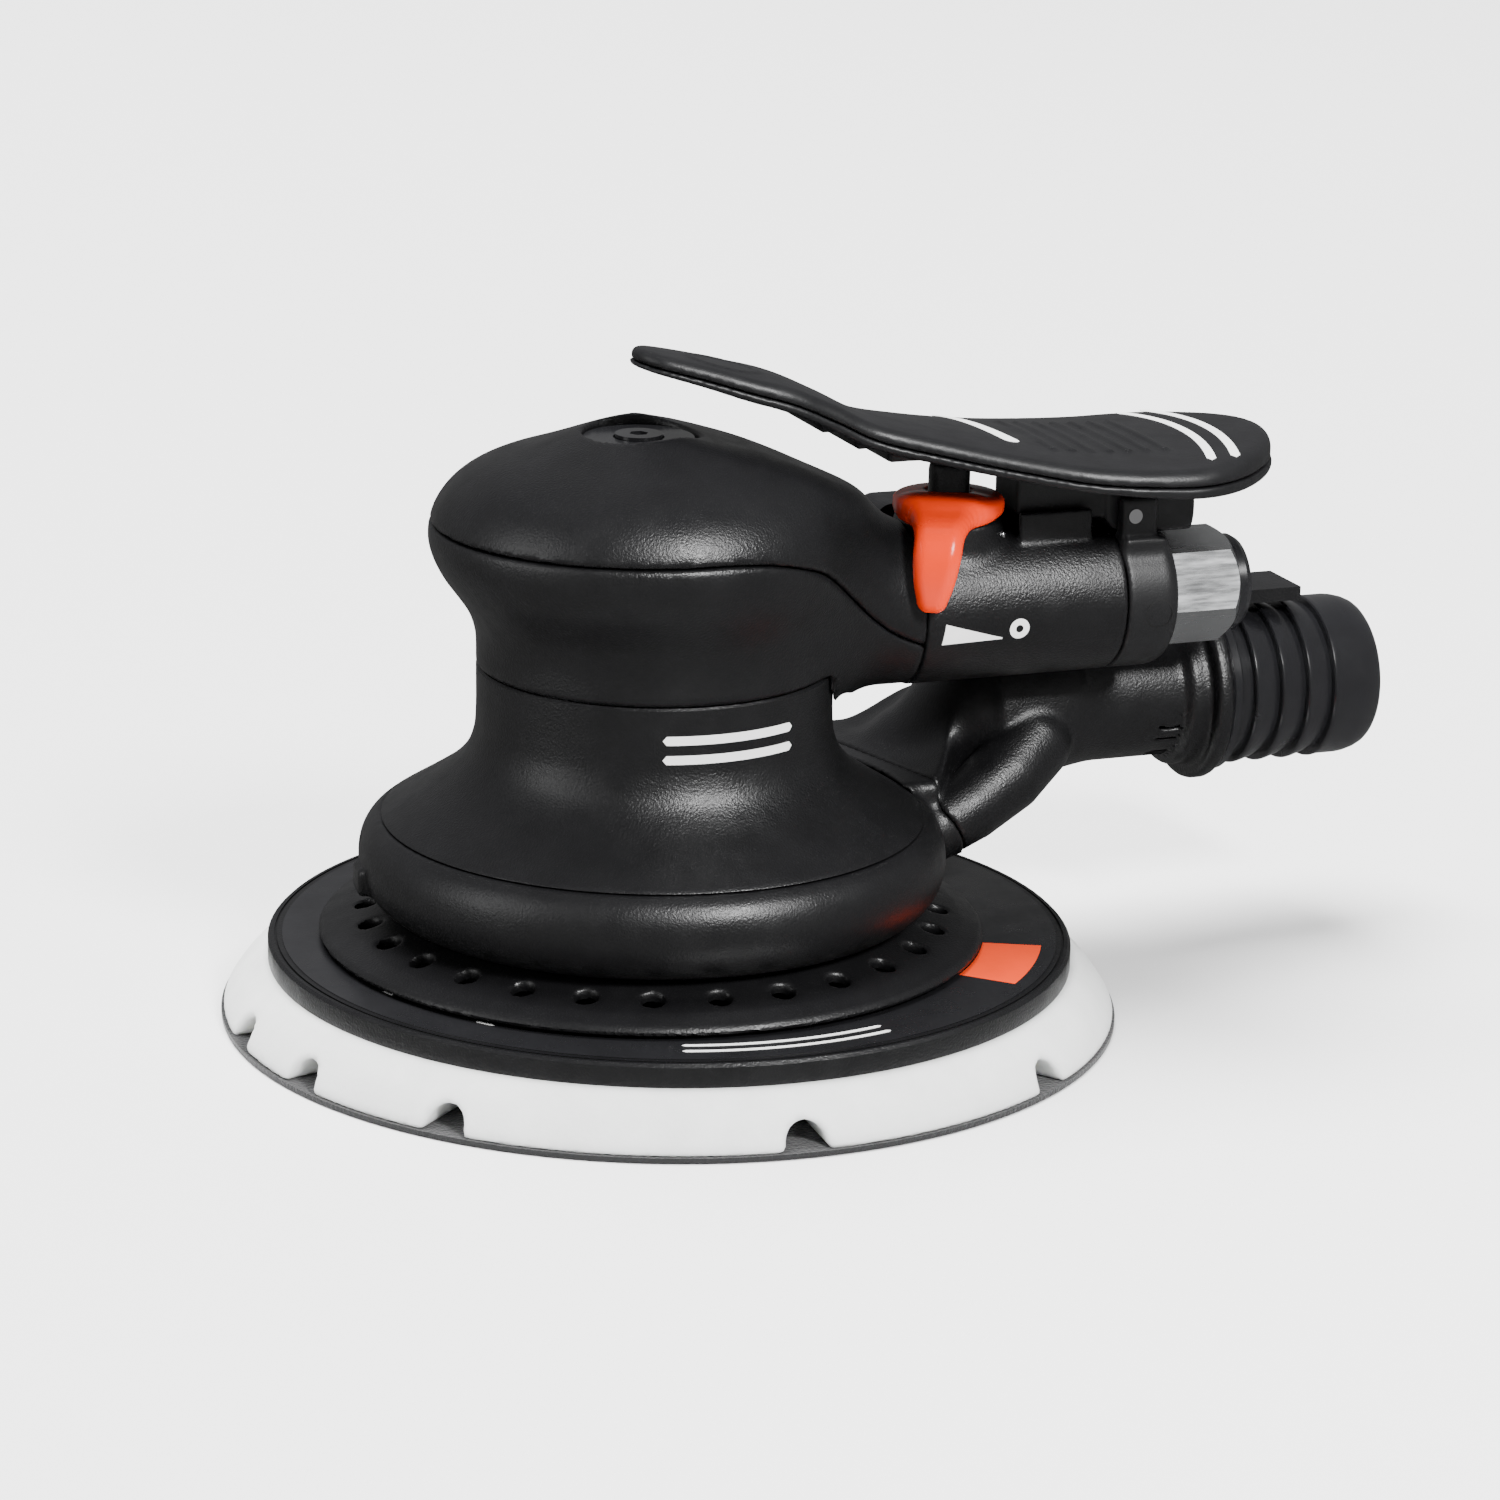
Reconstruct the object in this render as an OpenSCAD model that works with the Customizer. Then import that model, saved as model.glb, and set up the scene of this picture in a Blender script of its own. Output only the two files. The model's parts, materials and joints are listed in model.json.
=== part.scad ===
// Air-driven random orbital palm sander with a 150 mm pad.
// Origin: motor axis at the pad's working face. +Z up, +X along the handle to the air inlet.

/* [Pad] */
// Radius of the pad at its working face
pad_r = 75; // [73:0.5:76]
// Distance from the motor axis to the pad's own axis
orbit = 3.3; // [3.2:0.1:3.5]
// Height of the foam's top, where the hub plate starts
foam_top = 9.4; // [9:0.1:9.6]
// Radius of the hub plate
hub_r = 67.2; // [66:0.1:68]

/* [Housing] */
// Number of vent holes round the skirt over the pad
vent_count = 28; // [20:1:32]
// Radius of the neck below the grip
neck_r = 29.5; // [29.3:0.1:29.8]
// Height of the seam between the skirt and the motor housing
neck_z = 60; // [59:0.5:61]
// Height of the seam between the motor housing and the palm cover
cover_z = 84; // [84:0.1:84.5]
// Radius of the bore that holds the air motor
motor_bore_r = 27; // [27:0.05:27.1]
// How far the palm dome leans away from the handle
dome_shift = 3.3; // [3:0.1:3.6]

/* [Handle] */
// Height of the handle's axis
handle_z = 66; // [65.5:0.1:66.5]
// Radius of the handle sleeve
handle_r = 13.1; // [13:0.05:13.2]
// Where the handle sleeve starts
sleeve_x = 43.1; // [42.8:0.1:43.4]
// Where the end cap starts
cap_x = 79.8; // [79.6:0.1:80]
// Where the end cap stops and the inlet nut starts
nut_x = 89.9; // [89.6:0.1:90.1]
// Width across the flats of the inlet nut
nut_af = 17.4; // [17:0.1:17.8]
// Radius of the threaded air inlet
inlet_r = 5.9; // [5.8:0.05:6]

/* [Valve] */
// Distance from the motor axis to the throttle valve's axis
valve_x = 51.8; // [51.7:0.1:52]
// Radius of the boss round the valve
boss_r = 9.2; // [9:0.05:9.3]
// Height of the boss's top
boss_z = 81; // [80.9:0.05:81.1]
// Direction in which the speed lever's tail points at rest
tail_angle = -116; // [-117:0.5:-115]

/* [Throttle lever] */
// Distance from the motor axis to the lever's hinge pin
pin_x = 82; // [81.9:0.1:82.1]
// Height of the hinge pin
pin_z = 81; // [80.9:0.05:81.1]
// Rise of the soft cover's crown above its edge
crown = 1.8; // [1.5:0.1:2]

/* [Dust outlet] */
// Sideways offset of the hose spigot's axis
duct_y = 18; // [17.8:0.1:18.2]
// Height of the hose spigot's axis
duct_z = 42.5; // [42:0.1:43]
// Outer radius of the dust tube
duct_r = 12.6; // [12.4:0.1:12.8]
// Radius of the hose spigot's plain end
barb_r = 14.2; // [14:0.1:14.3]
// Where the hose spigot ends
barb_end = 138.5; // [138:0.1:139]

/* [Hidden] */
$fn = 64;

black = [0.09, 0.09, 0.1];
charcoal = [0.16, 0.16, 0.17];
orange = [1, 0.29, 0.04];
steel = [0.72, 0.73, 0.75];
alu = [0.8, 0.81, 0.82];
brass = [0.8, 0.62, 0.3];
white = [0.93, 0.93, 0.92];
graphite = [0.3, 0.3, 0.32];

hook_t = 0.8;             // thickness of the hook layer
hub_top = 13.2;           // top of the hub plate's rim
hub_face = 21;            // face of the hub plate that the spindle seats on
motor_low = 50;           // underside of the lower end plate
rotor_low = 57;           // top of the lower end plate
rotor_high = 79;          // underside of the upper end plate
motor_high = 85;          // top of the upper end plate
plate_r = motor_bore_r - 0.1;
rotor_r = 20;
liner_r = 22.4;           // radius of the motor's running bore
liner_shift = 2.2;        // how far that bore is off the motor axis
vane_count = 5;
shaft_r = 6;
run_gap = 0.05;           // radial clearance of a running fit
valve_bore_r = 6;
nut_turn = -17;           // how far a corner of the nut is turned from straight up
pocket_half = 6.1;        // half width of the slot for the lever's knuckle
knuckle_half = 5.7;
slot_x = 75.5;            // front end of that slot
inlet_x = 96.5;           // inner end of the threaded inlet
nut_end = 102.7;          // outer face of the inlet nut
flange_x = 108;           // face of the dust tube's flange
lip_r = 41.6;             // opening under the shroud

// A ring about Z
module ring(r_in, r_out, z0, z1) {
    rotate_extrude() translate([r_in, z0]) square([r_out - r_in, z1 - z0]);
}

// A round seal about Z
module o_ring(r, cord_r, z) {
    rotate_extrude() translate([r, z]) circle(cord_r, $fn = 24);
}

// A cylinder along X from x0 to x1, centred on the axis at y, z
module x_rod(r, x0, x1, y = 0, z = handle_z) {
    translate([x0, y, z]) rotate([0, 90, 0]) cylinder(h = x1 - x0, r = r);
}

// A ball bearing about Z: two races, a row of balls and two shields
module bearing(r_in, r_out, z0, z1) {
    race = (r_out - r_in) * 0.27;
    mid = (r_in + r_out) / 2;
    ball_r = (r_out - r_in) / 2 - race * 0.62;
    count = floor(2 * PI * mid / (ball_r * 2.6));
    difference() {
        ring(r_in, r_in + race, z0, z1);
        o_ring(mid, ball_r + run_gap, (z0 + z1) / 2);
    }
    difference() {
        ring(r_out - race, r_out, z0, z1);
        o_ring(mid, ball_r + run_gap, (z0 + z1) / 2);
    }
    for (i = [0 : count - 1])
        rotate(i * 360 / count) translate([mid, 0, (z0 + z1) / 2]) sphere(ball_r, $fn = 24);
    for (z = [z0 + 0.3, z1 - 0.7])
        ring(r_in + race + 0.1, r_out - race - 0.1, z, z + 0.4);
}

// ---------- housing ----------

// The grip's body without its hollows: neck, bulge, and the shoulder that runs into the handle
module housing_solid() {
    rotate_extrude() polygon([
        [0, neck_z], [neck_r, neck_z], [neck_r, 66], [30.4, 69], [31.7, 72],
        [33.8, 75], [35, 78], [35, cover_z], [0, cover_z]]);
    translate([-2.4, 0, 0]) rotate_extrude() polygon([
        [0, 72], [31, 72], [33.6, 75], [35, 78], [35.6, 81], [35.4, cover_z], [0, cover_z]]);
    difference() {
        hull() {
            translate([8, 0, neck_z + 4]) cylinder(h = 18, r = 23, $fn = 32);
            translate([sleeve_x - 1, 0, handle_z]) rotate([0, 90, 0])
                cylinder(h = 1, r = handle_r, $fn = 32);
        }
        translate([0, 0, 40]) cylinder(h = neck_z - 40, r = neck_r + 0.15);
    }
}

module motor_housing() {
    color(black) difference() {
        union() {
            housing_solid();
            ring(motor_bore_r - 0.5, 28, 46, neck_z);
            x_rod(10.4, sleeve_x - 2, 86);
            translate([valve_x, 0, handle_z]) cylinder(h = boss_z - handle_z, r = boss_r);
        }
        translate([0, 0, 45]) cylinder(h = 45, r = motor_bore_r);
        x_rod(5, valve_x, 75);
        x_rod(8.05, 72, 87);
        x_rod(2, 25, valve_x, 0, 76);
        translate([valve_x, 0, 57]) cylinder(h = 30, r = valve_bore_r);
        guide_pin_rod(0.93);
    }
}

// The dome that the palm rests on
module palm_cover() {
    color(black) translate([-dome_shift, 0, 0]) difference() {
        rotate_extrude() polygon([
            [0, cover_z], [34.4, cover_z], [34, 86], [33, 88], [31.2, 90], [28.4, 92],
            [23.6, 94], [18.6, 95.6], [12, 97.2], [9.2, 97.6], [9.2, 96.6], [0, 96.6]]);
        rotate_extrude() polygon([
            [0, cover_z - 1], [31.6, cover_z - 1], [31.3, 85.6], [28.6, 89.4],
            [21.6, 92.4], [11, 94.6], [0, 95]]);
        translate([0, 0, 90]) cylinder(h = 10, r = 2.2);
    }
}

module top_badge() {
    color(charcoal) translate([-dome_shift, 0, 0]) difference() {
        ring(2.3, 9.1, 96.6, 97.9);
        translate([0, 0, 97.4]) cylinder(h = 1, r = 4.2);
    }
}

module badge_screw() {
    color(steel) translate([-dome_shift, 0, 0]) difference() {
        union() {
            translate([0, 0, 97.45]) cylinder(h = 1.05, r = 3.9);
            translate([0, 0, 90.5]) cylinder(h = 7, r = 2.1);
        }
        translate([0, 0, 97.7]) cylinder(h = 1, r = 1.6, $fn = 6);
    }
}

module lower_skirt() {
    color(black) rotate_extrude() polygon([
        [28.4, neck_z], [neck_r, neck_z], [neck_r, 50], [30.2, 46], [33.1, 42],
        [38.7, 38], [45.2, 34], [42.4, 34], [36.6, 36.8], [31, 40.6], [28.4, 45]]);
}

// Outlet on the shroud: a flat chute between two heights, set in by the wall
module chute(x0, x1, inset) {
    y0 = -3 + inset;
    y1 = 40 - inset;
    z0 = 22 + inset;
    z1 = 35.5 - inset;
    translate([x0, y0, z0]) cube([x1 - x0, y1 - y0, z1 - z0]);
}

module shroud_ring() {
    color(black) difference() {
        union() {
            rotate_extrude() polygon([
                [0, 19.4], [44.2, 19.4], [45.2, 20], [47.4, 22.2], [48.6, 24.8], [48.9, 27.6],
                [48.4, 30.4], [47.2, 32.4], [45.2, 34], [0, 34]]);
            chute(10, 47, 0);
        }
        translate([0, 0, 34]) cylinder(h = 5, r = 45.4);
        rotate_extrude() polygon([
            [0, 19], [lip_r, 19], [lip_r, 20.8], [44.4, 23], [45.9, 25.4], [46.2, 27.6],
            [45.8, 29.8], [44.8, 31.4], [42.4, 34.1], [42.4, 36], [0, 36]]);
        chute(9, 48, 2.2);
        intersection() {
            chute(8, 48, 0.001);
            translate([0, 0, 21]) cylinder(h = 20, r = lip_r);
        }
    }
}

// Vented collar in the shroud's opening, hovering over the turning hub plate
module vent_skirt() {
    color(black) difference() {
        rotate_extrude() polygon([
            [39.2, 17], [44, 16.5], [47.6, 15.5], [53, 14], [55.6, 14], [54.9, 15.4],
            [47.6, 17.4], [44, 18.5], [lip_r - 0.05, 19.2], [lip_r - 0.05, 21.8], [39.2, 21.8]]);
        for (i = [0 : vent_count - 1])
            rotate((i + 0.5) * 360 / vent_count) translate([47.6, 0, 14]) cylinder(h = 6, r = 2);
    }
}

// ---------- handle ----------

module handle_sleeve() {
    color(black) difference() {
        x_rod(handle_r, sleeve_x, cap_x);
        x_rod(10.45, sleeve_x - 1, cap_x + 1);
        translate([valve_x, 0, handle_z]) cylinder(h = 20, r = boss_r + 0.05);
        guide_pin_rod(0.95, 3.7);
        knuckle_slot();
    }
}

// Space for the lever's knuckle on top of the handle
module knuckle_slot() {
    translate([slot_x, -pocket_half, 76.6]) cube([17, 2 * pocket_half, 12]);
}

module handle_end_cap() {
    ear_t = 3.2;
    color(charcoal) difference() {
        union() {
            x_rod(handle_r, cap_x, nut_x);
            for (side = [-1, 1])
                translate([cap_x, side * (pocket_half + ear_t / 2) - ear_t / 2, 74])
                    cube([6.6, ear_t, 10]);
        }
        x_rod(10.45, cap_x - 1, 86.1);
        x_rod(8.05, 86, nut_x + 1);
        knuckle_slot();
        translate([pin_x, 0, pin_z]) rotate([90, 0, 0]) cylinder(h = 30, r = 1.25, center = true);
    }
}

module inlet_bushing() {
    color(alu) difference() {
        union() {
            intersection() {
                translate([nut_x, 0, handle_z]) rotate([nut_turn, 0, 0]) rotate([0, 90, 0])
                    cylinder(h = nut_end - nut_x, r = nut_af / sqrt(3), $fn = 6);
                translate([nut_end, 0, handle_z]) rotate([0, -90, 0]) rotate_extrude() polygon([
                    [0, 0], [8.6, 0], [11.2, 2.5], [11.2, 14], [0, 14]]);
            }
            x_rod(8, 73, nut_x);
        }
        x_rod(5, 72, 90);
        x_rod(inlet_r + 1.6, inlet_x, 110);
        x_rod(5.5, 85, 97);
    }
}

module inlet_collar() {
    color(black) difference() {
        union() {
            x_rod(inlet_r + 1.58, inlet_x, nut_end);
            translate([nut_end, 0, handle_z]) rotate([0, 90, 0]) rotate_extrude() polygon([
                [0, 0], [8.1, 0], [8.2, 1.6], [7.6, 2.6], [0, 2.6]]);
        }
        x_rod(inlet_r, 95, 110);
    }
}

module inlet_screen() {
    color(brass) difference() {
        x_rod(5.45, 91, 92);
        for (a = [0 : 60 : 300])
            translate([90, 0, handle_z]) rotate([a, 0, 0]) translate([0, 0, 3])
                rotate([0, 90, 0]) cylinder(h = 4, r = 1.1);
        x_rod(1.1, 90, 94);
    }
}

module guide_pin_rod(r, h = 3.6) {
    translate([valve_x, 0, 78.2]) rotate([0, 90, -32]) translate([0, 0, 6.3]) cylinder(h = h, r = r);
}

module guide_pin() {
    color(steel) guide_pin_rod(0.9);
}

module exhaust_cover() {
    color(charcoal) difference() {
        hull() {
            for (x = [46, 63], z = [62, 78])
                translate([x, 10.6, z]) rotate([-90, 0, 0]) cylinder(h = 8.9, r = 3, $fn = 32);
        }
        x_rod(handle_r + 0.05, 40, 70);
        translate([45, 13.6, 61]) cube([19, 4.2, 18]);
        for (i = [0 : 5])
            translate([47 + i * 3, 16, 63]) cube([1.5, 6, 14]);
    }
}

module exhaust_muffler() {
    color(white) translate([45.1, 13.7, 61.1]) cube([18.8, 3.9, 17.8]);
}

// ---------- throttle valve ----------

module valve_seat() {
    color(brass) translate([valve_x, 0, 0]) ring(2.4, valve_bore_r, 71, 73);
}

// Points of one ring of the spring's wire
function coil_ring(a, r, z, wire) = [for (k = [0 : 7])
    let (rr = r + wire * cos(k * 45)) [rr * cos(a), rr * sin(a), z + wire * sin(k * 45)]];

module valve_spring() {
    turns = 5;
    steps = 14;
    wire = 0.45;
    rings = turns * steps;
    low = 57.5;
    high = 67.9;
    points = [for (i = [0 : rings])
        each coil_ring(i * 360 / steps, 3.6, low + (high - low) * i / rings, wire)];
    sides = [for (i = [0 : rings - 1], k = [0 : 7]) let (n = (k + 1) % 8)
        [i * 8 + k, i * 8 + n, i * 8 + n + 8, i * 8 + k + 8]];
    ends = [[for (k = [7 : -1 : 0]) k], [for (k = [0 : 7]) rings * 8 + k]];
    color(steel) translate([valve_x, 0, 0]) polyhedron(points, concat(sides, ends), convexity = 10);
}

module speed_spool() {
    color(brass) translate([valve_x, 0, 0]) difference() {
        ring(4.2, valve_bore_r - run_gap, 74, boss_z + 0.3);
        translate([0, 0, 76]) rotate([0, -90, 0]) cylinder(h = 10, r = 1.6);
        o_ring(5.4, 0.62, 79.4);
    }
}

module spool_o_ring() {
    color(graphite) translate([valve_x, 0, 0]) o_ring(5.35, 0.55, 79.4);
}

// One cross-section of the speed lever's tail: distance out, height and half width
module tail_bar(out, z, half) {
    for (side = [-1, 1])
        translate([out, side * half, z]) sphere(1.5, $fn = 20);
}

module speed_lever() {
    tail = [[7.2, 83.2, 4.2], [13.4, 82, 3.4], [17, 78.4, 2.6], [18, 74.2, 2], [18, 70, 1.2]];
    low = boss_z + 0.3;
    color(orange) translate([valve_x, 0, 0]) difference() {
        union() {
            rotate_extrude() polygon([
                [0, low], [8.6, low], [9.4, low + 0.9], [9.5, 83.6], [8.6, 85], [5.8, 86], [0, 86.2]]);
            rotate(tail_angle) for (i = [0 : len(tail) - 2]) hull() {
                tail_bar(tail[i][0], tail[i][1], tail[i][2]);
                tail_bar(tail[i + 1][0], tail[i + 1][1], tail[i + 1][2]);
            }
        }
        translate([0, 0, 80]) cylinder(h = 10, r = 3.85);
    }
}

module valve_plunger() {
    color(black) translate([valve_x, 0, 0]) difference() {
        rotate_extrude() polygon([
            [0, 77.5], [3.5, 77.5], [3.5, 89.3], [3.2, 90], [1.9, 90.7], [0, 90.8]]);
        o_ring(3.5, 0.62, 79);
    }
}

module plunger_o_ring() {
    color(graphite) translate([valve_x, 0, 0]) o_ring(3.5, 0.55, 79);
}

module valve_stem() {
    color(brass) translate([valve_x, 0, 0]) rotate_extrude() polygon([
        [0, 68.4], [4.4, 68.4], [4.4, 70], [3.6, 70.8], [1.5, 70.9], [1.5, 77.5], [0, 77.5]]);
}

// ---------- throttle lever ----------

// Stations along the lever: distance, height of the seam between core and cover, half width,
// thickness of the cover's edge, thickness of the core
stations = [
    [-4.6, 110.7, 5, 1.7, 0.9], [0, 109.6, 6.8, 1.9, 1], [6, 108, 8.6, 2, 1.2],
    [12, 106.2, 10.2, 2.1, 1.4], [20, 103.8, 11.2, 2.2, 1.5], [27.5, 100.4, 10.6, 2.2, 1.5],
    [35, 96.8, 10.6, 2.2, 1.5], [46, 94.1, 13.6, 2.2, 1.5], [58, 91.7, 18, 2.2, 1.5],
    [70, 89.8, 22.1, 2.4, 1.5], [84, 88.8, 23.7, 2.6, 2], [96, 88.9, 23.2, 3, 2.2],
    [109.6, 89.5, 20, 3.4, 2.2]];
rear_round = 24;          // length of the rounded rear end
front_round = 4;          // length of the rounded tip
lever_x0 = stations[0][0];
lever_x1 = stations[len(stations) - 1][0];

function clamp(i) = min(max(i, 0), len(stations) - 1);
function segment(x, i = 0) = (i >= len(stations) - 2 || x < stations[i + 1][0]) ? i : segment(x, i + 1);
function cubic(a, b, c, d, t) =
    b + t * (c - a) / 2 + t * t * (a - 2.5 * b + 2 * c - d / 2) + t * t * t * (1.5 * (b - c) + (d - a) / 2);
// Smooth value of column k of the stations at distance x
function along(x, k) = let (i = segment(x), t = (x - stations[i][0]) / (stations[i + 1][0] - stations[i][0]))
    cubic(stations[clamp(i - 1)][k], stations[i][k], stations[i + 1][k], stations[clamp(i + 2)][k], t);
// Half width with both ends rounded
function half_width(x) = along(x, 2)
    * sqrt(max(0, 1 - pow(max(0, x - lever_x1 + rear_round) / rear_round, 2)))
    * sqrt(max(0, 1 - pow(max(0, lever_x0 + front_round - x) / front_round, 2)));
lever_xs = concat(
    [for (a = [84 : -14 : 0]) lever_x0 + front_round * (1 - sin(a))],
    [for (x = [1.5 : 3.5 : 85]) x],
    [for (a = [6 : 13 : 84]) lever_x1 - rear_round + rear_round * sin(a)]);

// A closed loft along the lever, narrowed by inset. For each section it is given the lower and
// the upper edge as heights over the seam, and the rise of the crown between the upper edges.
module lever_loft(lows, highs, rise, inset) {
    across = 6;
    side = [for (j = [0 : across]) -1 + 2 * j / across];
    loop = 2 * (across + 1);
    rings = len(lever_xs);
    points = [for (i = [0 : rings - 1])
        let (x = lever_xs[i], w = max(0.4, half_width(x) - inset), z = along(x, 1))
        each concat(
            [for (s = side) [x, s * w, z + lows[i]]],
            [for (s = -side) [x, s * w, z + highs[i] + rise * min(1, w / 11) * (1 - s * s)]])];
    sides = [for (i = [0 : rings - 2], k = [0 : loop - 1]) let (n = (k + 1) % loop)
        [i * loop + k, (i + 1) * loop + k, (i + 1) * loop + n, i * loop + n]];
    last = (rings - 1) * loop;
    front = [for (j = [0 : across - 1]) [j, j + 1, loop - 2 - j, loop - 1 - j]];
    rear = [for (face = front) [for (k = [3 : -1 : 0]) last + face[k]]];
    polyhedron(points, concat(sides, front, rear), convexity = 6);
}

module lever_core() {
    color(black) difference() {
        union() {
            lever_loft([for (x = lever_xs) -along(x, 4)], [for (x = lever_xs) 0], 0, 0);
            translate([pin_x, 0, pin_z]) rotate([90, 0, 0])
                cylinder(h = 2 * knuckle_half, r = 3.6, center = true);
            translate([pin_x - 3.6, -knuckle_half, pin_z]) cube([12, 2 * knuckle_half, 6.4]);
            intersection() {
                translate([pin_x, 0, pin_z]) rotate([90, 0, 0])
                    cylinder(h = 2 * knuckle_half, r = 13, center = true);
                translate([pin_x, -knuckle_half, 77]) cube([13, 2 * knuckle_half, 10.4]);
            }
            rotate([90, 0, 0]) linear_extrude(10, center = true) polygon([
                [62.6, 87.4], [66, 83.6], [slot_x, 80.4], [pin_x, 80.4], [pin_x, 87.2],
                [70, 88.8], [62.6, 90.2]]);
        }
        translate([pin_x, 0, pin_z]) rotate([90, 0, 0]) cylinder(h = 40, r = 1.3, center = true);
    }
}

module lever_cover() {
    color(charcoal) lever_loft(
        [for (x = lever_xs) 0.01], [for (x = lever_xs) along(x, 3)], crown, 0.1);
}

module lever_pin() {
    color(steel) translate([pin_x, 0, pin_z]) rotate([90, 0, 0])
        cylinder(h = 2 * pocket_half + 6.8, r = 1.25, center = true);
}

// ---------- air motor ----------

module upper_end_plate() {
    color(alu) difference() {
        translate([0, 0, rotor_high]) cylinder(h = motor_high - rotor_high, r = plate_r);
        translate([0, 0, rotor_high + 1]) cylinder(h = 10, r = 11);
        translate([0, 0, rotor_high - 1]) cylinder(h = 5, r = 8);
        dowel(0.05);
    }
}

module lower_end_plate() {
    color(alu) difference() {
        translate([0, 0, motor_low]) cylinder(h = rotor_low - motor_low, r = plate_r);
        translate([0, 0, motor_low - 1]) cylinder(h = 7, r = 13);
        translate([0, 0, motor_low]) cylinder(h = 10, r = 8);
        dowel(0.05);
    }
}

// The pin that lines up the cylinder and its two plates, on the thick side of the wall
module dowel(gap) {
    translate([23.6, 6, motor_low + 3]) cylinder(h = 30, r = 1 + gap);
}

module cylinder_dowel() {
    color(steel) dowel(0);
}

module motor_cylinder() {
    color(steel) difference() {
        translate([0, 0, rotor_low]) cylinder(h = rotor_high - rotor_low, r = plate_r);
        translate([-liner_shift, 0, rotor_low - 1]) cylinder(h = 40, r = liner_r);
        dowel(0.05);
        translate([15, 0, 76]) rotate([0, 90, 0]) cylinder(h = 20, r = 2);
        for (z = [61 : 4 : 73])
            translate([-4, 15, z]) rotate([-90, 0, 0]) cylinder(h = 20, r = 1.4);
        for (z = [rotor_low + 1.5, rotor_high - 1])
            o_ring(26.5, 0.5, z);
    }
}

module cylinder_o_rings() {
    color(graphite) for (z = [rotor_low + 1.5, rotor_high - 1]) o_ring(26.5, 0.46, z);
}

module lock_ring() {
    color(alu) difference() {
        ring(14.5, 26.4, 46.2, motor_low);
        for (a = [0 : 90 : 270])
            rotate(a) translate([21, 0, 45]) cylinder(h = 3.2, r = 1.6);
    }
}

module shaft_seal() {
    color(graphite) ring(8.2, 14.4, 47, 49.4);
}

module upper_bearing() {
    color(steel) bearing(shaft_r + run_gap, 11, rotor_high + 1, motor_high);
}

module lower_bearing() {
    color(steel) bearing(shaft_r + run_gap, 13, motor_low, rotor_low - 1);
}

module shaft_ring() {
    color(steel) ring(5.3, 7.6, motor_high + 0.5, motor_high + 1.5);
}

module key_block(gap) {
    translate([shaft_r - 1.5, -1.5 - gap, 62]) cube([3 + gap, 3 + 2 * gap, 12]);
}

module rotor_key() {
    color(steel) key_block(0);
}

// Shaft of the motor in one piece with the offset spindle housing and the counterweight
module shaft_balancer() {
    weight_r = 31;
    color(steel) difference() {
        union() {
            translate([0, 0, 41]) cylinder(h = 88 - 41, r = shaft_r);
            translate([orbit, 0, 24.8]) cylinder(h = 20.4, r = 16.4);
            difference() {
                translate([0, 0, 27]) cylinder(h = 11, r = weight_r);
                translate([-8, -40, 20]) cube([80, 80, 30]);
            }
        }
        translate([orbit, 0, 20]) cylinder(h = 20, r = 13);
        translate([orbit, 0, 20]) cylinder(h = 21.6, r = 9);
        translate([orbit, 0, 0]) ring(12.5, 13.7, 25, 26);
        ring(5.3, 8, motor_high + 0.5, motor_high + 1.5);
        key_block(0.01);
    }
}

module rotor() {
    color(graphite) difference() {
        ring(shaft_r, rotor_r, rotor_low + 0.15, rotor_high - 0.15);
        for (i = [0 : vane_count - 1])
            rotate(36 + i * 360 / vane_count) translate([10.4, -1.05, 50]) cube([12, 2.1, 40]);
        key_block(0.01);
    }
}

module vanes() {
    color(brass) for (i = [0 : vane_count - 1])
        rotate(36 + i * 360 / vane_count) translate([11.2, -0.95, rotor_low + 0.2])
            cube([8.85, 1.9, rotor_high - rotor_low - 0.4]);
}

module spindle_bearings() {
    color(steel) translate([orbit, 0, 0]) for (z = [26, 33]) bearing(shaft_r + run_gap, 13, z, z + 7);
}

module bearing_ring() {
    color(steel) translate([orbit, 0, 0]) ring(11.4, 13.6, 25.1, 25.9);
}

// ---------- pad ----------

module spindle() {
    color(steel) translate([orbit, 0, 0]) difference() {
        union() {
            translate([0, 0, hub_face]) cylinder(h = 3.4, r = 11);
            translate([0, 0, hub_face]) cylinder(h = 19.4, r = shaft_r);
        }
        translate([0, 0, 20]) cylinder(h = 16, r = 4);
        for (side = [-1, 1])
            translate([-20, side * 14.5 - 5, hub_face - 1]) cube([40, 10, 5]);
    }
}

module spindle_ring() {
    color(steel) translate([orbit, 0, 0]) ring(0, 7.2, 40.4, 40.85);
}

module pad_stud() {
    color(steel) translate([orbit, 0, 0]) {
        translate([0, 0, 13]) cylinder(h = 21, r = 3.95);
        translate([0, 0, 10.6]) cylinder(h = 3, r = 9, $fn = 6);
    }
}

module pad_hub_plate() {
    color(black) translate([orbit, 0, 0]) difference() {
        rotate_extrude() polygon([
            [0, foam_top], [hub_r, foam_top], [hub_r, 12.7], [hub_r - 0.5, hub_top],
            [17.5, hub_top], [16, 14.6], [16, hub_face], [0, hub_face]]);
        for (a = [0 : 45 : 315])
            rotate(a) translate([27, 0, 5]) cylinder(h = 10, r = 5);
        translate([0, 0, 12]) cylinder(h = 12, r = 4);
        translate([0, 0, foam_top - 1]) cylinder(h = 14.7 - foam_top, r = 9.05, $fn = 6);
        rotate_extrude() translate([65.7, hub_top - 0.3]) square([0.4, 1]);
    }
}

// The tag's flat sector, grown all round by gap; one degree is about 1 mm at this radius
module tag_sector(gap) {
    rotate([0, 0, -45.5 - gap]) rotate_extrude(angle = 19 + 2 * gap)
        translate([52.5 - gap, hub_top - gap]) square([9.8 + 2 * gap, 0.12 + 2 * gap]);
}

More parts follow.
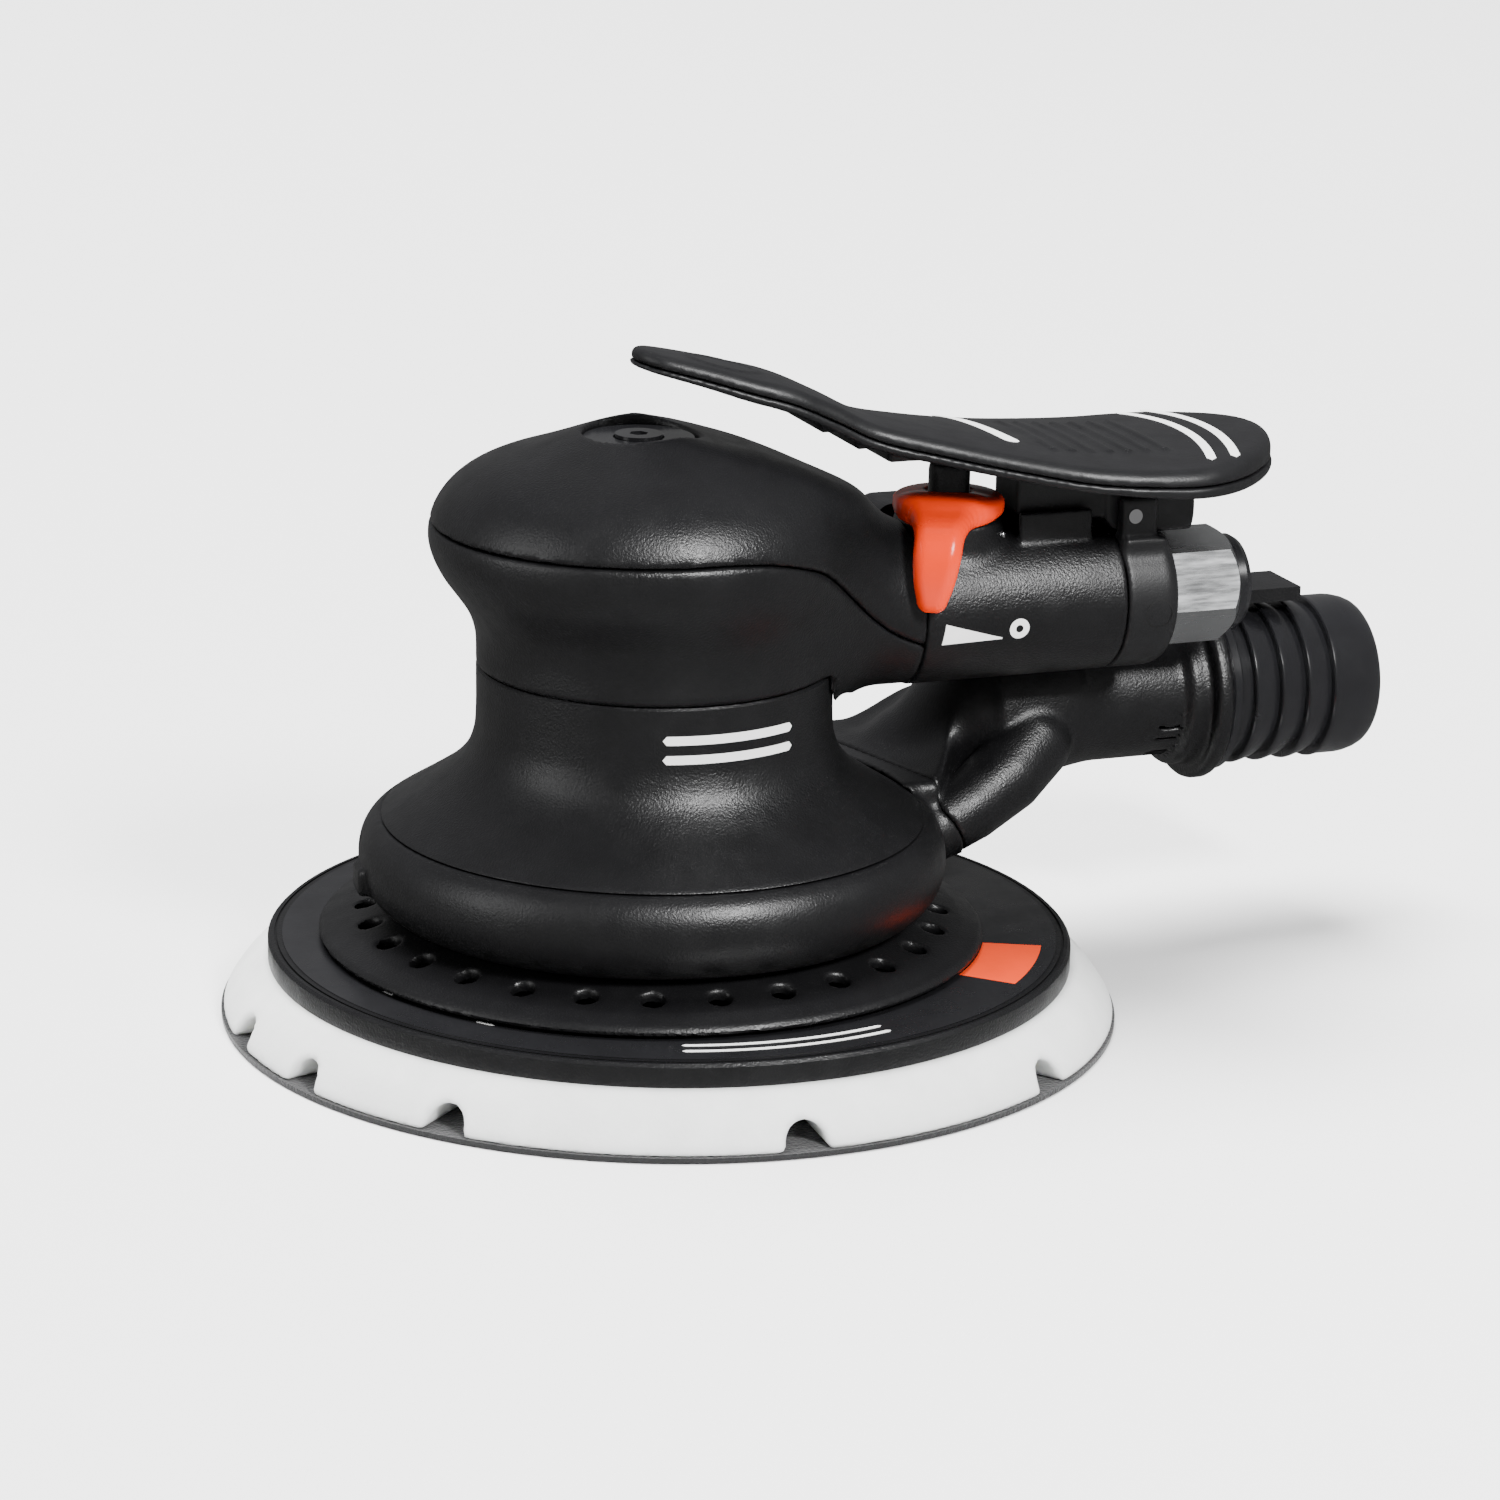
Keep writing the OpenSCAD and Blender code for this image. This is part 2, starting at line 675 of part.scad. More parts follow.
module pad_label() {
    color(charcoal) translate([orbit, 0, 0]) difference() {
        ring(50, 64.8, hub_top, hub_top + 0.12);
        tag_sector(0.02);
    }
}

module pad_tag() {
    color(orange) translate([orbit, 0, 0]) tag_sector(0);
}

// Dust channels that open at the foam's rim
module rim_channels() {
    for (a = [-180, -162, -138, -93, -54, -12, 30, 72, 114, 148])
        rotate(a) translate([60, 0, hook_t + 0.8]) rotate([0, 90, 0]) cylinder(h = 20, r = 3.6);
}

module dust_holes(z, h) {
    for (a = [0 : 45 : 315]) {
        rotate(a) translate([27, 0, z]) cylinder(h = h, r = 5);
        rotate(a + 22.5) translate([52, 0, z]) cylinder(h = h, r = 4);
    }
}

module pad_foam() {
    color(white) translate([orbit, 0, 0]) difference() {
        rotate_extrude() polygon([
            [0, hook_t], [pad_r - 0.4, hook_t], [pad_r - 0.6, 2.2], [hub_r + 1, foam_top - 0.4],
            [hub_r + 0.4, foam_top], [0, foam_top]]);
        rim_channels();
        dust_holes(0, 20);
    }
}

module hook_face() {
    color(black) translate([orbit, 0, 0]) difference() {
        cylinder(h = hook_t, r = pad_r);
        dust_holes(-1, 5);
    }
}

// ---------- dust outlet ----------

// Outside or inside of the duct: from the flat chute to the round tube
module duct_form(inset) {
    hull() {
        translate([47.2, -3 + inset, 22 + inset]) cube([2, 43 - 2 * inset, 13.5 - 2 * inset]);
        translate([58, 2 + inset, 24 + inset]) cube([2, 34 - 2 * inset, 22 - 2 * inset]);
    }
    hull() {
        translate([58, 2 + inset, 24 + inset]) cube([2, 34 - 2 * inset, 22 - 2 * inset]);
        translate([82, duct_y, duct_z]) rotate([0, 90, 0]) cylinder(h = 2, r = duct_r - inset, $fn = 32);
    }
}

module dust_duct() {
    color(black) difference() {
        union() {
            duct_form(0);
            x_rod(duct_r, 82, flange_x, duct_y, duct_z);
            x_rod(16.5, flange_x - 3, flange_x, duct_y, duct_z);
        }
        duct_form(2.2);
        translate([46, -0.8, 24.2]) cube([3, 38.6, 9.1]);
        translate([0, 0, 18]) cylinder(h = 16.3, r = 49.2);
        x_rod(duct_r - 2.2, 81, flange_x + 1, duct_y, duct_z);
        x_rod(11.5, flange_x - 12, flange_x + 1, duct_y, duct_z);
    }
}

module barb_latch() {
    color(black) difference() {
        union() {
            translate([flange_x - 3, duct_y - 6, duct_z + 13]) cube([3, 12, 5]);
            translate([flange_x - 3, duct_y - 6, duct_z + 15.6]) cube([20, 12, 2.4]);
        }
        x_rod(16.55, 100, flange_x + 0.001, duct_y, duct_z);
    }
}

module hose_barb() {
    base_r = 13.2;
    color(black) difference() {
        translate([0, duct_y, duct_z]) rotate([0, 90, 0]) rotate_extrude() polygon([
            [11.44, 97.5], [11.44, flange_x + 0.4], [15.2, flange_x + 0.4], [15.2, 110.4], [base_r, 111],
            for (i = [0 : 3]) each [[base_r, 113.2 + 5.1 * i], [barb_r + 0.2, 113.6 + 5.1 * i]],
            [barb_r, 129.6], [barb_r, 134.2], [13.8, 136.4], [12.7, barb_end], [10.4, barb_end],
            [9.2, 136.5], [9.2, 97.5]]);
        translate([0, duct_y, duct_z]) rotate([0, 90, 0]) o_ring(10.95, 0.6, 102);
    }
}

module barb_o_ring() {
    color(graphite) translate([0, duct_y, duct_z]) rotate([0, 90, 0]) o_ring(10.9, 0.52, 102);
}

motor_housing();
palm_cover();
top_badge();
badge_screw();
lower_skirt();
shroud_ring();
vent_skirt();
handle_sleeve();
handle_end_cap();
inlet_bushing();
inlet_collar();
inlet_screen();
guide_pin();
exhaust_cover();
exhaust_muffler();
valve_seat();
valve_spring();
lever_pin();
lever_core();
lever_cover();
speed_lever();
speed_spool();
spool_o_ring();
valve_plunger();
plunger_o_ring();
valve_stem();
upper_end_plate();
motor_cylinder();
cylinder_o_rings();
cylinder_dowel();
lower_end_plate();
lock_ring();
shaft_seal();
upper_bearing();
lower_bearing();
shaft_ring();
shaft_balancer();
rotor();
rotor_key();
vanes();
spindle_bearings();
bearing_ring();
spindle();
spindle_ring();
pad_stud();
pad_hub_plate();
pad_label();
pad_tag();
pad_foam();
hook_face();
dust_duct();
barb_latch();
hose_barb();
barb_o_ring();
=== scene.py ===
"""Looks of the air-driven random orbital sander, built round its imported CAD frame."""

import json
import math

import bpy
import numpy as np
from mathutils import Matrix, Vector


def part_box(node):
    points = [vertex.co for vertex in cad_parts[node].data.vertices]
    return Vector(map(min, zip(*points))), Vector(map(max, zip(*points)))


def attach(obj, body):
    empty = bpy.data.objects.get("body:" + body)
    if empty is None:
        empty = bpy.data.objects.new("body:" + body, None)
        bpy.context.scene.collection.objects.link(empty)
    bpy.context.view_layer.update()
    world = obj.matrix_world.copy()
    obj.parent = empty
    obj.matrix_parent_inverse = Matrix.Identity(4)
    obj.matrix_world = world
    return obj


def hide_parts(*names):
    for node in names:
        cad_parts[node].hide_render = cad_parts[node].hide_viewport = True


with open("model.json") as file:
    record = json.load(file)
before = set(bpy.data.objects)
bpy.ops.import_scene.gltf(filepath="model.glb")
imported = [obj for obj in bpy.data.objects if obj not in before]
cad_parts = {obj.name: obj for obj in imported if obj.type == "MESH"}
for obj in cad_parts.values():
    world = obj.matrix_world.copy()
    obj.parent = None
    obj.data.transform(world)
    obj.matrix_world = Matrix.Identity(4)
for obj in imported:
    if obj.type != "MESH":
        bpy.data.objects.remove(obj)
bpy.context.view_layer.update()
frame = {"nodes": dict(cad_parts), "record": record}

# Shapes below are worked out in millimetres, in the frame's axes, and made in metres.
MM = 0.001


def span(node):
    """Lowest and highest corner of a CAD node, in millimetres."""
    low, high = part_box(node)
    return np.array(low) / MM, np.array(high) / MM


sleeve_low, sleeve_high = span("handle_sleeve")
cap_low, cap_high = span("handle_end_cap")
foam_low, foam_high = span("pad_foam")
hub_high = span("pad_hub_plate")[1]
skirt_high = span("lower_skirt")[1]
valve_low, valve_high = span("speed_spool")
pin_low, pin_high = span("lever_pin")
barb_low, barb_high = span("hose_barb")
duct_high = span("dust_duct")[1]

HANDLE_R = sleeve_high[1]
HANDLE_Z = sleeve_low[2] + HANDLE_R
NECK_R = 29.5
NECK_Z = skirt_high[2]
VALVE_X = (valve_low[0] + valve_high[0]) / 2
PIN_X = (pin_low[0] + pin_high[0]) / 2
PIN_Z = (pin_low[2] + pin_high[2]) / 2
PAD_X = (foam_low[0] + foam_high[0]) / 2
HUB_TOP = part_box("pad_label")[0][2] / MM
SPIGOT_Y = (barb_low[1] + barb_high[1]) / 2
SPIGOT_Z = (barb_low[2] + barb_high[2]) / 2
PIPE_Z = SPIGOT_Z + 0.4
PIPE_R = 12.2
GAP = 0.12  # half the width of a seam between two mouldings


# ---------- distance fields ----------

def smin(a, b, k):
    """Union of two fields with a fillet of size k."""
    h = np.clip(0.5 + 0.5 * (b - a) / k, 0, 1)
    return b * (1 - h) + a * h - k * h * (1 - h)


def smax(a, b, k):
    """Intersection of two fields with a rounded edge of size k."""
    return -smin(-a, -b, k)


def ease(t):
    """A smooth step from 0 to 1."""
    t = np.clip(t, 0, 1)
    return t * t * (3 - 2 * t)


def rounded(q1, q2, e):
    """Two crossing slabs' distances joined with an outer edge of radius e."""
    a, b = q1 + e, q2 + e
    return np.hypot(np.maximum(a, 0), np.maximum(b, 0)) + np.minimum(np.maximum(a, b), 0) - e


def rod(x, y, z, start, end, r, e=0.0):
    """A cylinder between two points, with its end edges rounded by e."""
    a, b = np.array(start, float), np.array(end, float)
    length = np.linalg.norm(b - a)
    u = (b - a) / length
    px, py, pz = x - a[0], y - a[1], z - a[2]
    along = px * u[0] + py * u[1] + pz * u[2]
    across = np.sqrt(np.maximum(px * px + py * py + pz * pz - along * along, 0))
    return rounded(across - r, np.abs(along - length / 2) - length / 2, e)


def block(x, y, z, low, high, e=0.0):
    """A box between two corners, with its edges rounded by e."""
    q = [np.abs(v - (l + h) / 2) - (h - l) / 2 + e for v, l, h in zip((x, y, z), low, high)]
    out = np.sqrt(sum(np.maximum(v, 0) ** 2 for v in q))
    return out + np.minimum(np.maximum(np.maximum(q[0], q[1]), q[2]), 0) - e


def tube(x, y, z, path, radii, k=0.01):
    """A round tube along a path, whose radius runs evenly between its points."""
    field = None
    for a, b, ra, rb in zip(path[:-1], path[1:], radii[:-1], radii[1:]):
        a, b = np.array(a, float), np.array(b, float)
        d = b - a
        t = np.clip(((x - a[0]) * d[0] + (y - a[1]) * d[1] + (z - a[2]) * d[2]) / (d @ d), 0, 1)
        part = np.sqrt((x - a[0] - t * d[0]) ** 2 + (y - a[1] - t * d[1]) ** 2
                       + (z - a[2] - t * d[2]) ** 2) - (ra + (rb - ra) * t)
        field = part if field is None else smin(field, part, k)
    return field


def curve(points, per=8):
    """A smooth curve through points, as a denser list of points."""
    p = np.array(points, float)
    p = np.vstack([2 * p[0] - p[1], p, 2 * p[-1] - p[-2]])
    out = []
    for a, b, c, d in zip(p[:-3], p[1:-2], p[2:-1], p[3:]):
        for t in np.arange(per) / per:
            out.append(b + t * (c - a) / 2 + t * t * (a - 2.5 * b + 2 * c - d / 2)
                       + t ** 3 * (1.5 * (b - c) + (d - a) / 2))
    out.append(p[-2])
    return np.array(out)


def graph(points):
    """A smooth function of one variable through points."""
    p = curve(points, 10)
    return lambda v: np.interp(v, p[:, 0], p[:, 1])


def flat_field(points, low, high, step=0.25):
    """Signed distance to a closed outline in a plane, held as a table between low and high."""
    p = np.array(points, float)
    us = np.arange(low[0], high[0] + step, step)
    vs = np.arange(low[1], high[1] + step, step)
    u, v = np.meshgrid(us, vs, indexing="ij")
    best = np.full(u.shape, 1e9)
    inside = np.zeros(u.shape, bool)
    for a, b in zip(p, np.roll(p, -1, 0)):
        d = b - a
        if d @ d < 1e-12:
            continue
        t = np.clip(((u - a[0]) * d[0] + (v - a[1]) * d[1]) / (d @ d), 0, 1)
        best = np.minimum(best, (u - a[0] - t * d[0]) ** 2 + (v - a[1] - t * d[1]) ** 2)
        crosses = (a[1] > v) != (b[1] > v)
        side = a[0] + (v - a[1]) * d[0] / (d[1] if abs(d[1]) > 1e-12 else 1e-12)
        inside ^= crosses & (u < side)
    table = np.sqrt(best) * np.where(inside, -1, 1)

    def look(u, v):
        i = np.clip((u - us[0]) / step, 0, len(us) - 1.001)
        j = np.clip((v - vs[0]) / step, 0, len(vs) - 1.001)
        i0, j0 = i.astype(int), j.astype(int)
        a, b = i - i0, j - j0
        i0, j0 = np.broadcast_arrays(i0, j0)
        value = (table[i0, j0] * (1 - a) * (1 - b) + table[i0 + 1, j0] * a * (1 - b)
                 + table[i0, j0 + 1] * (1 - a) * b + table[i0 + 1, j0 + 1] * a * b)
        out_u = np.maximum(np.maximum(us[0] - u, u - us[-1]), 0)
        out_v = np.maximum(np.maximum(vs[0] - v, v - vs[-1]), 0)
        return value + np.hypot(out_u, out_v)

    return look


def turned(points, step=0.25):
    """Field of the solid that a profile of (radius, height) makes, closed across the axis."""
    p = np.array(points, float)
    closed = np.vstack([p, [[-60, p[-1, 1]], [-60, p[0, 1]]]])
    low, high = p.min(0) - 4, p.max(0) + 4
    look = flat_field(closed, (-1, low[1]), high, step)
    return lambda r, z: look(r, z)


# ---------- meshes ----------

def make_mesh(name, verts, faces, sharp=None):
    """An object from millimetre vertices and quads or triangles, shaded smooth."""
    mesh = bpy.data.meshes.new(name)
    verts = np.asarray(verts, np.float64) * MM
    if isinstance(faces, np.ndarray):
        n, k = faces.shape
        mesh.vertices.add(len(verts))
        mesh.vertices.foreach_set("co", verts.astype(np.float32).ravel())
        mesh.loops.add(n * k)
        mesh.loops.foreach_set("vertex_index", faces.astype(np.int32).ravel())
        mesh.polygons.add(n)
        mesh.polygons.foreach_set("loop_start", np.arange(0, n * k, k, dtype=np.int32))
        mesh.update(calc_edges=True)
        mesh.validate()
    else:
        mesh.from_pydata([tuple(v) for v in verts], [], faces)
    mesh.shade_smooth()
    if sharp:
        mesh.set_sharp_from_angle(angle=math.radians(sharp))
    obj = bpy.data.objects.new(name, mesh)
    bpy.context.scene.collection.objects.link(obj)
    return obj


def net(field, low, high, step):
    """Vertices and quads of a field's zero surface inside a box, pulled onto the surface."""
    axes = [np.arange(l - 2 * step, h + 3 * step, step) for l, h in zip(low, high)]
    x, y, z = np.meshgrid(*axes, indexing="ij", sparse=True)
    f = np.broadcast_to(field(x, y, z), [len(a) for a in axes])
    cells = tuple(n - 1 for n in f.shape)
    total = np.zeros(cells + (3,), np.float32)
    count = np.zeros(cells, np.int8)
    quads = []
    for axis in range(3):
        first = [slice(None)] * 3
        second = [slice(None)] * 3
        first[axis], second[axis] = slice(0, -1), slice(1, None)
        a, b = f[tuple(first)], f[tuple(second)]
        cross = (a < 0) != (b < 0)
        t = np.where(cross, a / np.where(cross, a - b, 1), 0)
        others = [i for i in range(3) if i != axis]
        for d0 in (0, 1):
            for d1 in (0, 1):
                part = [slice(None)] * 3
                for o, d in zip(others, (d0, d1)):
                    part[o] = slice(d, f.shape[o] - 1 + d)
                c = cross[tuple(part)]
                count += c
                total[..., axis] += t[tuple(part)]
                total[..., others[0]] += c * d0
                total[..., others[1]] += c * d1
        quads.append((axis, others, np.argwhere(cross), (a < 0)[cross]))
    used = count > 0
    number = np.full(cells, -1)
    number[used] = np.arange(used.sum())
    place = np.argwhere(used) + total[used] / count[used][:, None]
    verts = np.stack([axes[i][0] + place[:, i] * step for i in range(3)], 1)
    faces = []
    for axis, others, edges, outward in quads:
        keep = np.all([(edges[:, o] > 0) & (edges[:, o] < f.shape[o] - 1) for o in others], 0)
        edges, outward = edges[keep], outward[keep]
        p, q = others if axis != 1 else others[::-1]
        ring = []
        for dp, dq in ((-1, -1), (0, -1), (0, 0), (-1, 0)):
            cell = edges.copy()
            cell[:, p] += dp
            cell[:, q] += dq
            ring.append(number[cell[:, 0], cell[:, 1], cell[:, 2]])
        face = np.stack(ring, 1)
        face[~outward] = face[~outward][:, ::-1]
        faces.append(face)
    faces = np.vstack(faces)
    eps = 0.03
    for _ in range(4):
        value = field(*verts.T)
        slope = np.stack([
            (field(*(verts + d).T) - field(*(verts - d).T)) / (2 * eps) for d in np.eye(3) * eps], 1)
        size = np.maximum((slope ** 2).sum(1), 0.05)
        move = -slope * (value / size)[:, None]
        far = np.maximum(np.linalg.norm(move, axis=1) / (0.5 * step), 1)
        verts = verts + move / far[:, None]
    return verts, faces


def skin(name, field, low, high, step=0.7, sharp=None):
    """An object with a field's zero surface as its mesh."""
    verts, faces = net(field, low, high, step)
    return make_mesh(name, verts, faces, sharp)


def lathe(name, profile, centre=(0, 0), axis="z", sides=192, sharp=30):
    """A solid of revolution from a closed profile of (radius, height) that is clear of its axis."""
    p = np.array(profile, float)
    a = np.arange(sides) * 2 * math.pi / sides
    r, h = np.meshgrid(p[:, 0], a)[0], np.meshgrid(p[:, 1], a)[0]
    c, s = np.cos(a)[:, None], np.sin(a)[:, None]
    if axis == "z":
        verts = np.stack([centre[0] + r * c, centre[1] + r * s, h], 2).reshape(-1, 3)
    else:
        verts = np.stack([h, centre[0] + r * c, centre[1] + r * s], 2).reshape(-1, 3)
    n = len(p)
    i, j = np.meshgrid(np.arange(sides), np.arange(n), indexing="ij")
    k, m = (i + 1) % sides, (j + 1) % n
    faces = np.stack([i * n + j, k * n + j, k * n + m, i * n + m], 2).reshape(-1, 4)
    return make_mesh(name, verts, faces, sharp)


def ribbon(name, centre, half, place, lift=0.05, closed=False, across=4):
    """A thin print on a surface. centre is a list of (a, b) on the surface, half the half widths
    along it, and place(a, b, lift) gives the point in space."""
    c = np.array(centre, float)
    w = np.broadcast_to(np.array(half, float), (len(c),))
    if closed:
        d = np.roll(c, -1, 0) - np.roll(c, 1, 0)
    else:
        d = np.gradient(c, axis=0)
    d /= np.linalg.norm(d, axis=1)[:, None]
    side = np.stack([-d[:, 1], d[:, 0]], 1)
    s = np.linspace(-1, 1, across + 1)
    flat = c[:, None, :] + side[:, None, :] * (w[:, None] * s[None, :])[:, :, None]
    rows, cols = flat.shape[:2]
    a, b = flat[..., 0].ravel(), flat[..., 1].ravel()
    verts = np.vstack([np.stack(place(a, b, h), 1) for h in (-0.04, lift)])
    under = rows * cols
    faces = []
    last = rows if closed else rows - 1
    for i in range(last):
        n = (i + 1) % rows
        for j in range(cols - 1):
            q = [i * cols + j, n * cols + j, n * cols + j + 1, i * cols + j + 1]
            faces += [q, [under + v for v in q[::-1]]]
        for j, flip in ((0, 1), (cols - 1, 0)):
            q = [i * cols + j, n * cols + j, under + n * cols + j, under + i * cols + j]
            faces.append(q if flip == 0 else q[::-1])
    if not closed:
        for i, flip in ((0, 0), (rows - 1, 1)):
            for j in range(cols - 1):
                q = [i * cols + j, i * cols + j + 1, under + i * cols + j + 1, under + i * cols + j]
                faces.append(q if flip == 0 else q[::-1])
    return make_mesh(name, verts, faces, 35)


def round_ends(points, half):
    """Half widths that round off both ends of a strip."""
    p = np.array(points, float)
    run = np.r_[0, np.cumsum(np.linalg.norm(np.diff(p, axis=0), axis=1))]
    edge = np.minimum(np.minimum(run, run[-1] - run), half)
    return np.sqrt(np.maximum(half ** 2 - (half - edge) ** 2, 1e-4))


def strip(start, end, n=28):
    """Points of a straight line, closer together at its ends."""
    t = (1 - np.cos(np.linspace(0, math.pi, n))) / 2
    return np.array(start)[None] * (1 - t)[:, None] + np.array(end)[None] * t[:, None]


# ---------- materials ----------

def material(name, base, rough, metal=0.0, grain=0.0, grain_size=0.4, vary=0.06,
             tint=0.12, coat=0.0, streak=None, under=0.0, sheen=0.0, mirror=0.5):
    """A procedural surface: base colour with slight mottling, uneven roughness and a fine grain.
    grain is the height of its bumps and grain_size their size, both in millimetres."""
    mat = bpy.data.materials.new(name)
    mat.use_nodes = True
    nodes, links = mat.node_tree.nodes, mat.node_tree.links
    shader = nodes["Principled BSDF"]
    shader.inputs["Metallic"].default_value = metal
    shader.inputs["Specular IOR Level"].default_value = mirror
    shader.inputs["Coat Weight"].default_value = coat
    shader.inputs["Coat Roughness"].default_value = 0.12
    shader.inputs["Sheen Weight"].default_value = sheen
    if under:
        shader.inputs["Subsurface Weight"].default_value = under
        shader.inputs["Subsurface Radius"].default_value = (0.004, 0.004, 0.0038)
        shader.inputs["Subsurface Scale"].default_value = 1.0
    place = nodes.new("ShaderNodeTexCoord")

    def noise(size, detail=3.0, stretch=None):
        tex = nodes.new("ShaderNodeTexNoise")
        tex.inputs["Scale"].default_value = 1 / (size * MM)
        tex.inputs["Detail"].default_value = detail
        tex.inputs["Roughness"].default_value = 0.6
        source = place.outputs["Object"]
        if stretch:
            mapping = nodes.new("ShaderNodeMapping")
            mapping.inputs["Scale"].default_value = stretch
            links.new(source, mapping.inputs["Vector"])
            source = mapping.outputs["Vector"]
        links.new(source, tex.inputs["Vector"])
        return tex

    mottle = noise(9, 4)
    ramp = nodes.new("ShaderNodeValToRGB")
    ramp.color_ramp.elements[0].position = 0.3
    ramp.color_ramp.elements[1].position = 0.7
    ramp.color_ramp.elements[0].color = [c * (1 - tint) for c in base] + [1]
    ramp.color_ramp.elements[1].color = [min(1, c * (1 + tint)) for c in base] + [1]
    links.new(mottle.outputs["Fac"], ramp.inputs["Fac"])
    links.new(ramp.outputs["Color"], shader.inputs["Base Color"])
    wear = noise(5 if streak is None else 1.2, 6, streak)
    spread = nodes.new("ShaderNodeMapRange")
    spread.inputs["From Min"].default_value = 0.3
    spread.inputs["From Max"].default_value = 0.7
    spread.inputs["To Min"].default_value = max(0.02, rough - vary)
    spread.inputs["To Max"].default_value = min(1, rough + vary)
    links.new(wear.outputs["Fac"], spread.inputs["Value"])
    links.new(spread.outputs["Result"], shader.inputs["Roughness"])
    if grain:
        fine = noise(grain_size, 2, streak)
        bump = nodes.new("ShaderNodeBump")
        bump.inputs["Strength"].default_value = 1.0
        bump.inputs["Distance"].default_value = grain * MM
        links.new(fine.outputs["Fac"], bump.inputs["Height"])
        links.new(bump.outputs["Normal"], shader.inputs["Normal"])
    return mat


LOOKS = {
    "grained_black": material("grained_black", (0.005, 0.005, 0.0055), 0.36, grain=0.1, grain_size=0.4,
                              mirror=0.5),
    "rubber_black": material("rubber_black", (0.005, 0.005, 0.0055), 0.38, grain=0.08, grain_size=0.4,
                             mirror=0.5),
    "charcoal_plastic": material("charcoal_plastic", (0.008, 0.008, 0.0087), 0.42, grain=0.035,
                                 grain_size=0.35, mirror=0.4),
    "glossy_black": material("glossy_black", (0.008, 0.008, 0.009), 0.22, grain=0.004, grain_size=2,
                             coat=0.3),
    "orange_plastic": material("orange_plastic", (0.66, 0.03, 0.001), 0.25, grain=0.004, grain_size=1.6,
                               tint=0.04, under=0.03, mirror=0.3, vary=0.03),
    "orange_print": material("orange_print", (0.75, 0.05, 0.006), 0.4, grain=0.01, grain_size=0.7, tint=0.05),
    "label": material("label", (0.009, 0.009, 0.010), 0.30, grain=0.004, grain_size=1.5),
    "aluminium": material("aluminium", (0.62, 0.63, 0.64), 0.30, metal=1.0, grain=0.006, grain_size=1.0,
                          streak=(0.12, 1, 1), vary=0.1, tint=0.07),
    "steel": material("steel", (0.5, 0.5, 0.52), 0.32, metal=1.0, grain=0.005, grain_size=0.8, tint=0.08),
    "chrome": material("chrome", (0.85, 0.85, 0.86), 0.10, metal=1.0, grain=0.002, grain_size=2.0, vary=0.03,
                       tint=0.03),
    "brass": material("brass", (0.72, 0.5, 0.2), 0.3, metal=1.0, grain=0.006, grain_size=0.8),
    "composite": material("composite", (0.3, 0.2, 0.11), 0.6, grain=0.02, grain_size=0.3, streak=(1, 1, 0.2)),
    "felt": material("felt", (0.6, 0.58, 0.52), 0.9, grain=0.1, grain_size=0.5, sheen=0.4),
    "foam": material("foam", (0.80, 0.81, 0.80), 0.62, grain=0.05, grain_size=0.8, tint=0.05, under=0.35),
    "hook": material("hook", (0.012, 0.012, 0.013), 0.8, grain=0.25, grain_size=0.7, sheen=0.3),
}
PRINT = material("pale_print", (0.80, 0.80, 0.79), 0.45, grain=0.008, grain_size=0.6, tint=0.04)
DARK_MARK = material("mould_mark", (0.004, 0.004, 0.004), 0.6, grain=0.01, grain_size=0.5)


def finish_piece(obj, body, slot, nodes=(), look=None):
    """Gives a piece its material, picked by slot unless a look is given, puts it on its body and hides the
    CAD nodes that it stands for.
    """
    obj.data.materials.append(look or LOOKS[slot])
    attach(obj, body)
    if nodes:
        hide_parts(*nodes)
    return obj


for part in frame["record"]["subparts"]:
    for held in frame["nodes"][part["node"]].material_slots:
        held.material = LOOKS[part["material_slot"]]
for held in frame["nodes"]["badge_screw"].material_slots:
    held.material = LOOKS["glossy_black"]


# ---------- grip: one form, split by a seam into the motor housing and the palm cover ----------

LEAN = 2.9  # how far the dome's centre leans away from the handle
head_profile = turned(curve([
    (29.5, 38), (29.5, 50), (29.5, 60), (29.6, 65), (30.3, 69), (31.6, 72), (33.1, 75), (34.1, 78),
    (34.6, 81), (34.4, 84), (33.3, 87), (31.0, 90), (27.6, 92.5), (22.9, 94.5), (17, 96.1),
    (10.9, 97.2), (5, 97.7), (0, 97.8)], 5))
seam_height = graph([(-45, 84), (-8, 84), (4, 83.7), (12, 82.2), (19, 79.6), (24, 76), (28, 72.4),
                     (33, 68), (38, 64.5), (46, 61)])


# Height that the crown stays under, so that the pressed lever clears it
crown_limit = graph([(-40, 120), (-6, 104), (0, 100.4), (4, 98.8), (10, 97.2), (17, 95), (23, 92.6),
                     (29.2, 89.9), (35.6, 87.6), (46, 83.8)])


def grip(x, y, z):
    """Outside of the grip: leaning head, shoulder and the root of the handle."""
    lean = LEAN * ease((z - 64) / 18)
    head = head_profile(np.hypot(x + lean, y), z)
    root = tube(x, y, z, [(16, 0, HANDLE_Z + 1), (44, 0, HANDLE_Z)], [13.8, HANDLE_R])
    shoulder = tube(x, y, z, [(2, 0, 79), (24, 0, 74), (40, 0, 69)], [21, 15.6, 10.6], 4)
    arm = smin(root, shoulder, 6)
    out = np.maximum(np.hypot(x, y) - NECK_R, 0)
    arm = smax(arm, np.maximum(sleeve_low[2] + 0.2, NECK_Z + 0.2 - 1.8 * out) - z, 2)
    body = smin(head, arm, 9)
    body = smax(body, z - crown_limit(x), 1.6)
    return smax(body, x - (sleeve_low[0] - 0.15), 0.5)


def housing_field(x, y, z):
    body = smax(grip(x, y, z), z - (seam_height(x) - GAP), 0.7)
    below = np.maximum(np.hypot(x, y) - (NECK_R + 0.25), z - (NECK_Z + GAP))
    body = smax(body, -below, 0.5)
    bore = np.maximum(np.hypot(x, y) - 27.2, 40 - z)
    return smax(body, -bore, 0.3)


